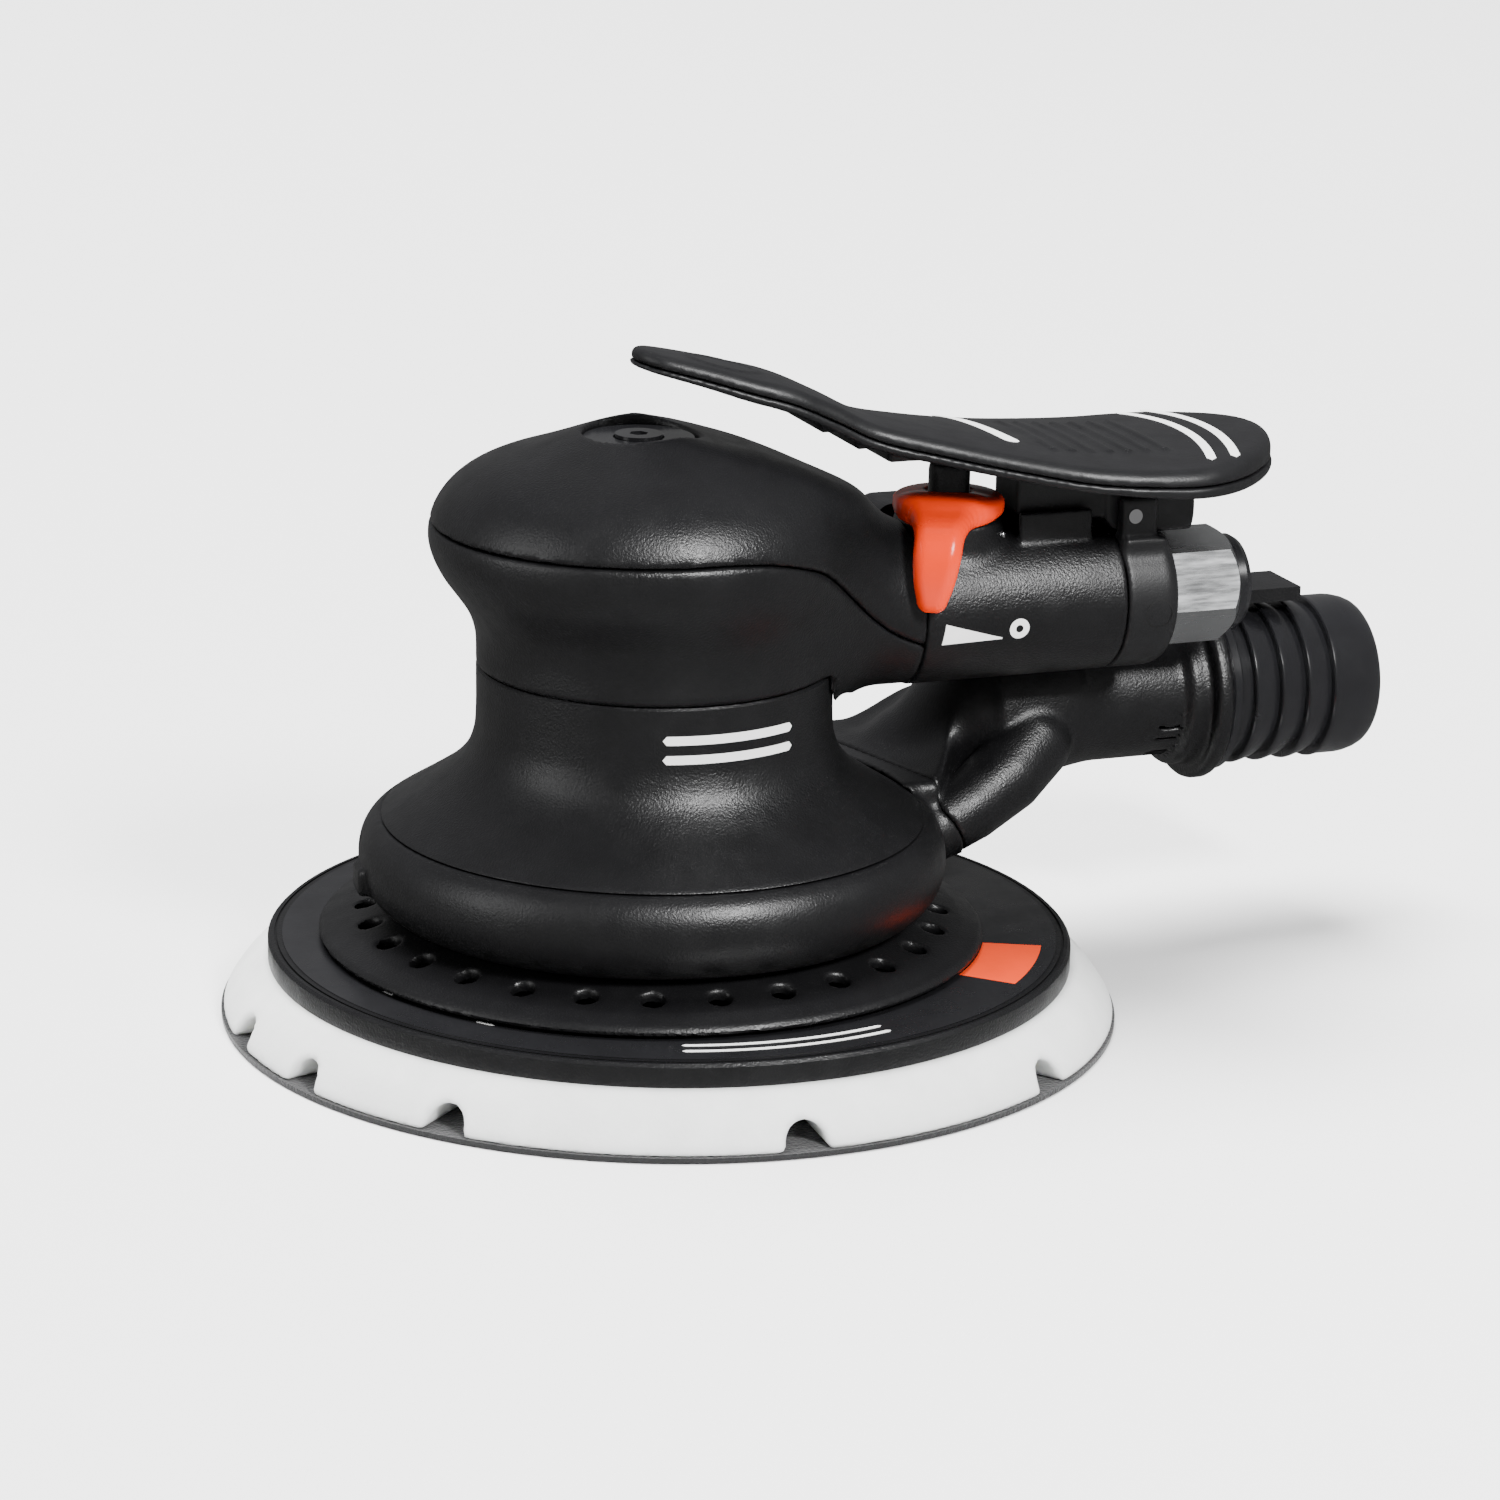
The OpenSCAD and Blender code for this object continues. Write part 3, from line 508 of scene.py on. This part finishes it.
def cover_field(x, y, z):
    outer = grip(x, y, z)
    body = smax(outer, (seam_height(x) + GAP) - z, 0.7)
    body = smax(body, -np.maximum(outer + 3, x - 24), 0.4)
    pocket = rounded(np.hypot(x + LEAN, y) - 9.6, 96.7 - z, 0)
    return smax(body, -pocket, 0.5)


housing = skin("grip_housing", housing_field, (-39, -37, 50), (44, 37, 87), 0.75)
finish_piece(housing, "housing", "grained_black", ["motor_housing"])
dome = skin("grip_palm_cover", cover_field, (-39, -37, 60), (44, 37, 99), 0.75)
finish_piece(dome, "housing", "grained_black", ["palm_cover"])

# Tube inside the handle that the sleeve slides over, seen through the lever's slot
core_r = 10.4
tube_profile = [(5, 62), (5, 70), (8.05, 71), (8.05, 86), (core_r, 86), (core_r, 62)]
inner = lathe("grip_inner_tube", tube_profile, (0, HANDLE_Z), "x", 96)
finish_piece(inner, "housing", "grained_black")

# ---------- skirt, shroud and vented collar ----------

skirt_outside = curve([(NECK_R, 59.5), (NECK_R, 52), (29.9, 48), (31.4, 44.4), (34.6, 41), (39.2, 37.8),
                       (45.0, 34.2)], 8)
skirt_inside = curve([(42.4, 34.0), (36.4, 37.0), (31.2, 40.8), (28.8, 45), (28.4, 50), (28.4, 59.5)], 6)
skirt_profile = np.vstack([[(NECK_R - 0.35, NECK_Z - GAP)], skirt_outside, [(45.1, 34.05), (44.8, 34.0)],
                           skirt_inside, [(28.4, NECK_Z - GAP)]])
skirt = lathe("neck_skirt", skirt_profile, sides=256)
finish_piece(skirt, "housing", "grained_black", ["lower_skirt"])

LIP_R = 41.6  # opening under the shroud
shroud_outside = turned(curve([(43.8, 19.4), (45.4, 20.1), (47.4, 22), (48.6, 24.6), (48.9, 27.4),
                               (48.5, 30.2), (47.3, 32.4), (45.5, 33.9)], 6))
shroud_inside = turned([(LIP_R, 17), (LIP_R, 20.8), (44.2, 23), (45.7, 25.4), (46, 27.6), (45.6, 29.8),
                        (44.4, 31.4), (42.2, 34), (42.2, 38)])
CHUTE_Z = (22, 35.5)
# The skirt's own solid, which the shroud stays clear of
skirt_outline = turned(np.vstack([[(0.1, 59.5)], skirt_outside, [(45.3, 33.9), (0.1, 33.9)]]))


def joint(x, y, z):
    """Slanting seam between the shroud's outlet and the dust tube."""
    return 0.826 * x + 0.229 * y + 0.516 * np.minimum(z, 30.5) - 56.9


FINGER = [(42, -2.2, 24.4), (50, -0.6, 26.1), (58, 1.4, 29.2), (66, 4.4, 33.2), (72, 8, 37.4)]
FINGER_R = [5.3, 5.5, 6.0, 6.6, 7.0]


def finger(x, y, z):
    """The round channel that climbs from the shroud's corner into the dust tube."""
    return tube(x, y, z, FINGER, FINGER_R)


def shroud_field(x, y, z):
    r = np.hypot(x, y)
    outer = smin(shroud_outside(r, z),
                 block(x, y, z, (10, -3, CHUTE_Z[0]), (60, 40, CHUTE_Z[1]), 2), 1.8)
    outer = smin(outer, finger(x, y, z), 1.2)
    outer = smax(outer, joint(x, y, z) + 0.1, 0.4)
    turn = math.radians(172)
    along = x * math.cos(turn) + y * math.sin(turn)
    across = -x * math.sin(turn) + y * math.cos(turn)
    lug = block(along, across, z, (46, -3.2, 22.6), (49.9, 3.6, 27.2), 0.8)
    outer = smin(outer, lug, 0.8)
    outer = smax(outer, -rod(along, across, z, (48, -5.2, 30), (50.6, -5.2, 30), 0.7), 0.3)
    inner = shroud_inside(r, z)
    inner = np.minimum(inner, block(x, y, z, (9, 1.5, CHUTE_Z[0] + 2.2), (62, 37.8, CHUTE_Z[1] - 2.2), 1))
    body = smax(outer, -inner, 0.6)
    return smax(body, 0.18 - skirt_outline(r, z), 0.2)


shroud = skin("dust_shroud", shroud_field, (-51, -51, 18.5), (57, 51, 37), 0.55)
finish_piece(shroud, "housing", "rubber_black", ["shroud_ring"])

collar_shape = turned([(39.2, 17), (44, 16.5), (47.6, 15.5), (53, 14), (55.4, 14), (55.5, 14.5), (54.9, 15.3),
                       (51.6, 16.5), (47.6, 17.4), (44, 18.5), (LIP_R - 0.1, 19.2), (LIP_R - 0.1, 21.8),
                       (39.2, 21.8)])
VENTS = 28
VENT_R = 47.6


def collar_field(x, y, z):
    r = np.hypot(x, y)
    pitch = 2 * math.pi / VENTS
    turn = np.arctan2(y, x)
    off = (turn / pitch - np.floor(turn / pitch) - 0.5) * pitch
    hole = np.hypot(r * np.cos(off) - VENT_R, r * np.sin(off)) - 2.0
    inner = collar_shape(r, z)
    shell = np.maximum(inner, 39.2 - r)
    return smax(shell, -hole, 0.5)


collar = skin("vent_collar", collar_field, (-56, -56, 13.6), (56, 56, 22), 0.6, 40)
finish_piece(collar, "housing", "rubber_black", ["vent_skirt"])

# ---------- handle ----------

BOSS_R = 9.2
BOSS_Z = valve_high[2] - 0.3
KNUCKLE_HALF = 6.1


def knuckle_gap(x, y, z):
    return block(x, y, z, (75.5, -KNUCKLE_HALF, 76.6), (93, KNUCKLE_HALF, 95))


def sleeve_field(x, y, z):
    body = rod(x, y, z, (sleeve_low[0] + 0.15, 0, HANDLE_Z), (cap_low[0] - 0.15, 0, HANDLE_Z), HANDLE_R, 0.5)
    boss = rod(x, y, z, (VALVE_X, 0, HANDLE_Z), (VALVE_X, 0, BOSS_Z), BOSS_R, 0.5)
    body = smin(body, boss, 1.5)
    body = smax(body, -(np.hypot(y, z - HANDLE_Z) - 10.45), 0.2)
    for side in (-1, 1):  # rails on both sides of the lever's web
        low, high = sorted((side * 5.7, side * 7.2))
        rail = block(x, y, z, (62, low, 70), (75.2, high, 82.2), 0.5)
        body = smin(body, rail, 0.8)
    well = rod(x, y, z, (VALVE_X, 0, HANDLE_Z + 6), (VALVE_X, 0, 90), 6.1)
    return smax(smax(body, -well, 0.4), -knuckle_gap(x, y, z), 0.5)


sleeve = skin("handle_grip_sleeve", sleeve_field, (42.5, -14, 52), (80.5, 14, 83.4), 0.5)
finish_piece(sleeve, "housing", "grained_black", ["handle_sleeve"])

pin_turn = math.radians(-32)
pin_out = np.array([math.cos(pin_turn), math.sin(pin_turn), 0])


def guide_field(x, y, z):
    start, end = [(VALVE_X + d * pin_out[0], d * pin_out[1], 78.3) for d in (7.5, 9.9)]
    return rod(x, y, z, start, end, 0.95, 0.5)


guide = skin("guide_pin_end", guide_field, (57, -7, 76), (61.5, -3, 80.5), 0.15)
finish_piece(guide, "housing", "chrome", ["guide_pin"])


def cap_field(x, y, z):
    across = np.hypot(y, z - HANDLE_Z)
    body = smax(across - HANDLE_R, x - (cap_high[0] - 0.1), 3)
    body = smax(body, (cap_low[0] + 0.15) - x, 0.6)
    for side in (-1, 1):
        wall = (KNUCKLE_HALF, KNUCKLE_HALF + 3.2) if side > 0 else (-KNUCKLE_HALF - 3.2, -KNUCKLE_HALF)
        ear = block(x, y, z, (cap_low[0] + 0.1, wall[0], 70), (cap_low[0] + 6.5, wall[1], cap_high[2]), 0.9)
        foot = block(x, y, z, (cap_low[0] + 0.15, min(wall) - 0.9, 70),
                     (cap_low[0] + 8.2, max(wall) + 0.9, 77.2), 0.8)
        body = smin(body, smin(ear, foot, 1.2), 0.8)
    body = smax(body, -(across - 10.45 + 2.4 * (x > 86.1)), 0.2)
    return smax(body, -knuckle_gap(x, y, z), 0.5)


cap = skin("handle_rear_cap", cap_field, (79, -14, 52), (90.5, 14, 85), 0.5)
finish_piece(cap, "housing", "charcoal_plastic", ["handle_end_cap"])

# ---------- paddle ----------

# Distance along the lever, height of the seam between its core and its cover, half width,
# thickness of the cover's edge, thickness of the core
STATIONS = np.array([
    (-4.6, 110.7, 5, 1.7, 0.9), (0, 109.6, 6.8, 1.9, 1), (6, 108, 8.6, 2, 1.2), (12, 106.2, 10.2, 2.1, 1.4),
    (20, 103.8, 11.2, 2.2, 1.5), (27.5, 100.4, 10.6, 2.2, 1.5), (35, 96.8, 10.6, 2.2, 1.5),
    (46, 94.1, 13.6, 2.2, 1.5), (58, 91.7, 18, 2.2, 1.5), (70, 89.8, 22.1, 2.4, 1.5),
    (84, 88.8, 23.7, 2.6, 2), (96, 88.9, 23.2, 3, 2.2), (109.6, 89.5, 20, 3.4, 2.2)])
TIP, REAR = STATIONS[0][0], STATIONS[-1][0]
TIP_ROUND, REAR_ROUND = 4, 24
paddle_seam, paddle_width, paddle_edge, core_depth = [graph(STATIONS[:, [0, k]]) for k in (1, 2, 3, 4)]


def paddle_outline(inset):
    """Half outline of the paddle from tip to rear, with both ends rounded."""
    x = np.r_[TIP + TIP_ROUND * (1 - np.cos(np.linspace(0, math.pi / 2, 12))),
              np.arange(1, REAR - REAR_ROUND, 3),
              REAR - REAR_ROUND + REAR_ROUND * np.sin(np.linspace(0, math.pi / 2, 28))]
    w = paddle_width(x)
    w = w * np.sqrt(np.clip(1 - (np.maximum(0, x - REAR + REAR_ROUND) / REAR_ROUND) ** 2, 0, 1))
    w = w * np.sqrt(np.clip(1 - (np.maximum(0, TIP + TIP_ROUND - x) / TIP_ROUND) ** 2, 0, 1))
    ring = np.vstack([np.stack([x, w], 1), np.stack([x, -w], 1)[::-1]])
    look = flat_field(ring, (TIP - 4, -28), (REAR + 4, 28), 0.3)
    return lambda u, v: look(u, v) + inset


core_plan = paddle_outline(0.0)
cover_plan = paddle_outline(0.25)
slope_at = graph([(x, (paddle_seam(x + 1) - paddle_seam(x - 1)) / 2) for x in np.arange(-8, 112, 4.0)])


def crown_at(x, y):
    """Height of the cover's top over the seam."""
    w = np.maximum(paddle_width(x), 1)
    rise = 1.35 * np.minimum(1, w / 16) * (1 - np.clip(np.abs(y) / w, 0, 1) ** 2.2)
    return paddle_edge(x) - 0.1 + rise


def over_seam(x, z):
    """Distance over the seam, square to the paddle."""
    return (z - paddle_seam(x)) / np.sqrt(1 + slope_at(x) ** 2)


def cover_top_field(x, y, z):
    top = crown_at(x, y)
    h = over_seam(x, z)
    body = smax(rounded(cover_plan(x, y), h - top, 0.95 * paddle_edge(x) - 0.4), GAP - h, 0.35)
    for k in range(7):
        rib_x = 66 + 3.4 * k
        rib = block(x, y, z, (rib_x - 0.7, -11, 80), (rib_x + 0.7, 13, 120), 0.6)
        tilt = (z - paddle_seam(x)) - (top + 0.42)
        body = smin(body, smax(rib, np.maximum(tilt, -tilt - 2), 0.4), 0.35)
    ring = np.abs(np.hypot((x - 10.5) / 1.35, y + 1.5) - 4.2) - 0.55
    ring = smax(ring, np.abs((z - paddle_seam(x)) - top) - 0.35, 0.3)
    return smin(body, ring, 0.25)


paddle_top = skin("paddle_cover", cover_top_field, (-7, -25, 88), (110, 25, 115), 0.6)
finish_piece(paddle_top, "throttle_lever", "charcoal_plastic", ["lever_cover"])

WEB_HALF = 5.6
# Steps under the lever's bend: start, end, height of their underside
RIDGES = ((24.8, 31.4, 98.7), (31.2, 38, 95.5), (37, 43.6, 92.9))


def core_field(x, y, z):
    h = over_seam(x, z)
    body = smax(rounded(core_plan(x, y), -h - core_depth(x), 0.6 * core_depth(x)), h + GAP, 0.3)
    under_seam = z - paddle_seam(x) + 0.8
    for start, end, bottom in RIDGES:
        step = block(x, y, z, (start, -9.4, bottom), (end, 9.4, 120), 0.6)
        body = smin(body, np.maximum(step, under_seam), 0.4)
    pin = (PIN_X, -WEB_HALF, PIN_Z), (PIN_X, WEB_HALF, PIN_Z)
    knuckle = np.minimum(
        rod(x, y, z, *pin, 3.6, 0.3),
        block(x, y, z, (PIN_X - 3.6, -WEB_HALF, PIN_Z), (PIN_X + 8.4, WEB_HALF, 87.3), 0.3))
    lug = np.maximum(rod(x, y, z, *pin, 12.9, 0.4), np.maximum(PIN_X - x, 77.1 - z))
    web = block(x, y, z, (62.3, -4.9, 78), (PIN_X, 4.9, 92), 0.5)
    web = smax(web, 81.5 - 0.1 * (x - 62.3) - z, 0.4)
    for part in (knuckle, lug, web):
        body = smin(body, np.maximum(part, under_seam), 0.6)
    return body


paddle_low = skin("paddle_core", core_field, (-7, -25, 76), (110, 25, 113), 0.6)
finish_piece(paddle_low, "throttle_lever", "charcoal_plastic", ["lever_core"])

# ---------- speed lever and plunger ----------

TAIL_TURN = math.radians(-116)
# Down the middle of the tail: distance out, height, half width inside its rounding, sideways shift
TAIL = curve([(5.0, 82.9, 4.6, -0.5), (10.5, 82.5, 3.1, -0.5), (14.6, 80.9, 2.1, -0.6),
              (16.8, 78, 1.9, -0.8), (17.6, 74.2, 1.4, -1.1), (17.7, 70.8, 0.5, -1.4)], 4)
TAIL_R = 2.1  # rounding of its edges
DISC_LOW, DISC_HIGH = valve_high[2], 86.2


def speed_field(x, y, z):
    u = (x - VALVE_X) * math.cos(TAIL_TURN) + y * math.sin(TAIL_TURN)
    v = -(x - VALVE_X) * math.sin(TAIL_TURN) + y * math.cos(TAIL_TURN)
    r = np.hypot(x - VALVE_X, y)
    disc = rod(x, y, z, (VALVE_X, 0, DISC_LOW), (VALVE_X, 0, DISC_HIGH), 9.4, 1.6)
    disc = smax(disc, z - (DISC_HIGH - 0.5 - 0.012 * r * r), 1.2)
    tail = 1e6
    for a, b in zip(TAIL[:-1], TAIL[1:]):
        du, dz = b[0] - a[0], b[1] - a[1]
        t = np.clip(((u - a[0]) * du + (z - a[1]) * dz) / (du * du + dz * dz), 0, 1)
        half, shift = a[2] + (b[2] - a[2]) * t, a[3] + (b[3] - a[3]) * t
        aside = np.maximum(np.abs(v - shift) - half, 0)
        away = np.sqrt((u - a[0] - t * du) ** 2 + (z - a[1] - t * dz) ** 2 + aside ** 2)
        tail = np.minimum(tail, away - TAIL_R)
    body = smin(disc, tail, 3.4)
    body = smax(body, DISC_LOW - 0.2 - z - 40 * (r > 11.2), 0.3)
    return smax(body, -(r - 3.9), 0.6)


speed = skin("speed_tab", speed_field, (36, -20.5, 67), (62.5, 11, 87), 0.4)
finish_piece(speed, "speed_control", "orange_plastic", ["speed_lever"])
speed.visible_glossy = False

plunger_top = span("valve_plunger")[1][2]
plunger_profile = curve([(3.5, plunger_top - 1.7), (3.3, plunger_top - 0.9), (2.7, plunger_top - 0.35),
                         (1.4, plunger_top - 0.05), (0.05, plunger_top)], 4)
plunger = lathe("throttle_plunger", np.vstack([[(0.05, 77.5), (3.5, 77.5)], plunger_profile]),
                (VALVE_X, 0), "z", 64)
finish_piece(plunger, "throttle_valve", "grained_black", ["valve_plunger"])

# ---------- dust outlet ----------


def duct_field(x, y, z):
    pipe = rod(x, y, z, (66, SPIGOT_Y, PIPE_Z), (duct_high[0], SPIGOT_Y, PIPE_Z), PIPE_R, 0.4)
    elbow = tube(x, y, z, [(57, 23, 33.4), (68, SPIGOT_Y + 1, SPIGOT_Z - 1.5), (76, SPIGOT_Y, SPIGOT_Z)],
                 [8.0, 12.0, PIPE_R], 4)
    t = ease((x - 48.5) / 14.5)
    mid_y, half_y = 18.5 + 7.5 * t, 21.5 - 9.5 * t
    mid_z, half_z = 28.75 + 4.6 * t, 6.75 + 1.4 * t
    branch = rounded(np.abs(y - mid_y) - half_y, np.abs(z - mid_z) - half_z, 2.6)
    branch = np.maximum(branch, x - 63)
    body = smin(smin(pipe, elbow, 4), branch, 6)
    body = smin(body, finger(x, y, z), 1.2)
    for rib_x in (73.3, 81.2):
        rib = rod(x, y, z, (rib_x, SPIGOT_Y - 11.9, PIPE_Z + 4),
                  (rib_x, SPIGOT_Y - 8.6, PIPE_Z + 9.3), 0.8)
        body = smin(body, rib, 0.3)
    body = smax(body, 0.1 - joint(x, y, z), 0.4)
    end = duct_high[0]
    flange = rod(x, y, z, (end - 3, SPIGOT_Y, SPIGOT_Z), (end, SPIGOT_Y, SPIGOT_Z), 16.5, 0.9)
    neck = rod(x, y, z, (end - 7, SPIGOT_Y, SPIGOT_Z), (end - 2, SPIGOT_Y, SPIGOT_Z), 13.8, 1.2)
    body = smin(body, smin(flange, neck, 1.0), 1.6)
    inside = np.hypot(y - SPIGOT_Y, z - SPIGOT_Z) - np.where(x > end - 12, 11.5, 10.4)
    body = smax(body, -np.maximum(inside, 82 - x), 0.2)
    return smax(body, -block(x, y, z, (30, 1.5, 25.2), (57, 36.5, 32.6), 1.0), 0.3)


duct = skin("dust_outlet_tube", duct_field, (36, -9, 19), (109, 42, 60), 0.65)
finish_piece(duct, "housing", "grained_black", ["dust_duct"])

barb_x = barb_low[0]
BARB_R, BARB_ROOT = 14.2, 13.2
barb_start = duct_high[0]
barb_profile = [(11.44, barb_x), (11.44, barb_start + 0.4), (14.9, barb_start + 0.4),
                (15.2, barb_start + 0.8), (15.2, barb_start + 2.1), (14.9, barb_start + 2.4),
                (BARB_ROOT + 0.2, barb_start + 2.5)]
for k in range(4):
    x0 = 113.2 + 5.1 * k
    barb_profile += [(BARB_ROOT, x0 - 0.1), (BARB_R - 0.05, x0 + 0.05), (BARB_R + 0.17, x0 + 0.25),
                     (BARB_R + 0.2, x0 + 0.55), (BARB_R + 0.1, x0 + 1.1)]
barb_end = barb_high[0]
barb_profile += [(BARB_R, 130.2), (BARB_R, 134), (14.08, 135), (13.7, 136.5), (13.2, 137.6),
                 (12.8, barb_end - 0.4), (12.3, barb_end), (10.8, barb_end), (10.3, barb_end - 0.3),
                 (9.5, 137), (9.2, 136), (9.2, barb_x)]
barb = lathe("hose_spigot_barb", barb_profile, (SPIGOT_Y, SPIGOT_Z), "x", 192, 24)
finish_piece(barb, "hose_swivel", "glossy_black", ["hose_barb"])

# ---------- pad ----------

PAD_R = foam_high[0] - PAD_X
HUB_R = hub_high[0] - PAD_X
foam_shape = turned(curve([(PAD_R - 0.25, foam_low[2]), (PAD_R, foam_low[2] + 0.35), (PAD_R - 0.2, 2.2),
                           (73.1, 4.2), (71.4, 6.3), (69.6, 8.0), (68.4, 9.0),
                            (HUB_R + 0.1, foam_high[2])], 4))
CHANNELS = [-180, -162, -138, -93, -54, -12, 30, 72, 114, 148]
CHANNEL_R = 3.3


def foam_field(x, y, z):
    px = x - PAD_X
    body = foam_shape(np.hypot(px, y), z)
    for a in CHANNELS:
        c, s = math.cos(math.radians(a)), math.sin(math.radians(a))
        along, across = px * c + y * s, -px * s + y * c
        notch = np.hypot(across, z - foam_low[2] - 0.8) - CHANNEL_R
        notch = np.maximum(notch, 60 - along)
        body = smax(body, -notch, 1.4)
    for a in np.arange(0, 360, 45):
        for turn, ring_r, hole_r in ((a, 27, 5), (a + 22.5, 52, 4)):
            c, s = math.cos(math.radians(turn)), math.sin(math.radians(turn))
            body = np.maximum(body, hole_r - np.hypot(px - ring_r * c, y - ring_r * s))
    return body


foam = skin("foam_pad", foam_field, (PAD_X - 76, -76, 0.6), (PAD_X + 76, 76, 10), 0.7)
finish_piece(foam, "pad", "foam", ["pad_foam"])

# ---------- plain prints in place of the marks ----------


# Each of these puts a print's flat (a, b) on a surface, raised by lift.
def on_neck(a, b, lift):
    r = NECK_R + lift
    return r * np.cos(a), r * np.sin(a), b


def on_sleeve(a, b, lift):
    r = HANDLE_R + lift
    return a, -r * np.cos(b), HANDLE_Z + r * np.sin(b)


def on_paddle(a, b, lift):
    return a, b, paddle_seam(a) + (crown_at(a, b) + lift) * np.sqrt(1 + slope_at(a) ** 2)


def on_hub(a, b, lift):
    return PAD_X + b * np.cos(a), b * np.sin(a), 0 * a + HUB_TOP + 0.13 + lift * 0.6


def print_on(name, centre, half, place, body, look=PRINT, slot="label", closed=False, across=4):
    """A finished ribbon that rides on a body."""
    piece = ribbon(name, centre, half, place, closed=closed, across=across)
    return finish_piece(piece, body, slot, look=look)


NECK_FROM, NECK_TO = math.radians(-107), math.radians(-61)
for k, height in enumerate((54.6, 51.4)):
    a = np.linspace(NECK_FROM, NECK_TO, 40) * NECK_R
    line = np.stack([a, 0 * a + height], 1)
    print_on(f"neck_stripe_{k + 1}", line, round_ends(line, 0.75),
             lambda a, b, h: on_neck(a / NECK_R, b, h), "housing")

t = np.linspace(0, 1, 16)
wedge_mid = np.stack([46.2 + 10.6 * t, (-2.0 - 1.4 * t)], 1)
print_on("speed_wedge", wedge_mid, 1.72 * (1 - t) + 0.12,
         lambda a, b, h: on_sleeve(a, b / HANDLE_R, h), "housing")
turn = np.arange(48) * 2 * math.pi / 48
circle = np.stack([np.cos(turn), np.sin(turn)], 1)
print_on("speed_ring", circle * 1.22 + [59.8, -1.9], 0.55,
         lambda a, b, h: on_sleeve(a, b / HANDLE_R, h), "housing", closed=True, across=3)
print_on("cap_gate_mark", circle * 2.4 + [85.5, -1.3], 0.12,
         lambda a, b, h: on_sleeve(a, b / HANDLE_R, h * 0.4), "housing",
         look=DARK_MARK, closed=True, across=2)


def on_pipe(a, b, lift):
    r = PIPE_R + lift
    return a, SPIGOT_Y - r * np.cos(b), PIPE_Z + r * np.sin(b)


turn = np.linspace(math.pi, 2 * math.pi, 30)
arc = np.stack([77.3 + 3.1 * np.cos(turn), 2.6 + 3.7 * np.sin(turn)], 1)
print_on("duct_gate_mark", arc, 0.2, lambda a, b, h: on_pipe(a, b / PIPE_R, h * 0.4), "housing",
         look=DARK_MARK, across=2)

for k, x0 in enumerate((94.8, 99.2)):
    y = np.linspace(-18.5, 20.5, 40)
    line = np.stack([x0 - (y - 2) ** 2 / 118, y], 1)
    print_on(f"paddle_stripe_{k + 1}", line, round_ends(line, 0.8), on_paddle, "throttle_lever", across=4)
line = strip((60.2, -7.5), (57.0, 18.5), 30)
print_on("paddle_bar", line, round_ends(line, 1.5), on_paddle, "throttle_lever", across=6)

# Two small pale dashes on the hub, just outside the vent ring
for k, (a0, a1) in enumerate(((-163, -160.4), (-142, -138.6))):
    a = np.radians(np.linspace(a0, a1, 10))
    line = np.stack([a * 60, 0 * a + 57.4], 1)
    print_on(f"hub_tick_{k + 1}", line, round_ends(line, 0.3),
             lambda a, b, h: on_hub(a / 60, b, h), "pad", across=2)
a = np.radians(np.linspace(-108, -75, 60))
for k, r in enumerate((58.6, 61.2)):
    line = np.stack([a * r, 0 * a + r], 1)
    print_on(f"hub_arc_{k + 1}", line, round_ends(line, 0.45),
             lambda a, b, h, r=r: on_hub(a / r, b, h), "pad", across=2)

# ---------- camera, light and floor ----------

CAMERA = Vector((-0.25814, -0.71703, 0.26696))
AIM = Vector((0.0171, 0.0, 0.0431))
ROLL = math.radians(1.1)

forward = (AIM - CAMERA).normalized()
right = forward.cross(Vector((0, 0, 1))).normalized()
up = right.cross(forward)
rolled_right = math.cos(ROLL) * right + math.sin(ROLL) * up
rolled_up = -math.sin(ROLL) * right + math.cos(ROLL) * up
data = bpy.data.cameras.new("camera")
data.lens = 114.9
data.sensor_width = 36
data.clip_end = 50
camera = bpy.data.objects.new("camera", data)
camera.matrix_world = Matrix((
    (rolled_right.x, rolled_up.x, -forward.x, CAMERA.x),
    (rolled_right.y, rolled_up.y, -forward.y, CAMERA.y),
    (rolled_right.z, rolled_up.z, -forward.z, CAMERA.z),
    (0, 0, 0, 1)))
bpy.context.scene.collection.objects.link(camera)
bpy.context.scene.camera = camera


def softbox(name, place, size, power, aim=(0.01, 0, 0.05)):
    light = bpy.data.lights.new(name, "AREA")
    light.shape = "RECTANGLE"
    light.size, light.size_y = size
    light.energy = power
    obj = bpy.data.objects.new(name, light)
    obj.location = place
    obj.rotation_euler = (Vector(aim) - Vector(place)).to_track_quat("-Z", "Y").to_euler()
    bpy.context.scene.collection.objects.link(obj)
    return obj


softbox("key", (0.25, -0.85, 0.75), (0.22, 0.22), 20)
softbox("left", (-1.1, -0.1, 0.45), (0.5, 0.9), 4)
# Lights the floor and the foam without a sheen over the black parts
overhead = softbox("overhead", (-0.2, 1.1, 3.2), (2.4, 2.4), 480, (0, 0.5, 0))
overhead.visible_glossy = False

floor_size = 40.0
floor = make_mesh("floor", [(-floor_size / MM, -floor_size / MM, 0), (floor_size / MM, -floor_size / MM, 0),
                            (floor_size / MM, floor_size / MM, 0), (-floor_size / MM, floor_size / MM, 0)],
                  [[0, 1, 2, 3]])
floor.location.z = -0.0002
paper = material("paper", (0.9, 0.9, 0.9), 0.9, tint=0.004, vary=0.02)
floor.data.materials.append(paper)
floor.visible_glossy = False

world = bpy.data.worlds.new("studio")
world.use_nodes = True
world.node_tree.nodes["Background"].inputs["Color"].default_value = (1, 1, 1, 1)
world.node_tree.nodes["Background"].inputs["Strength"].default_value = 0.2
bpy.context.scene.world = world
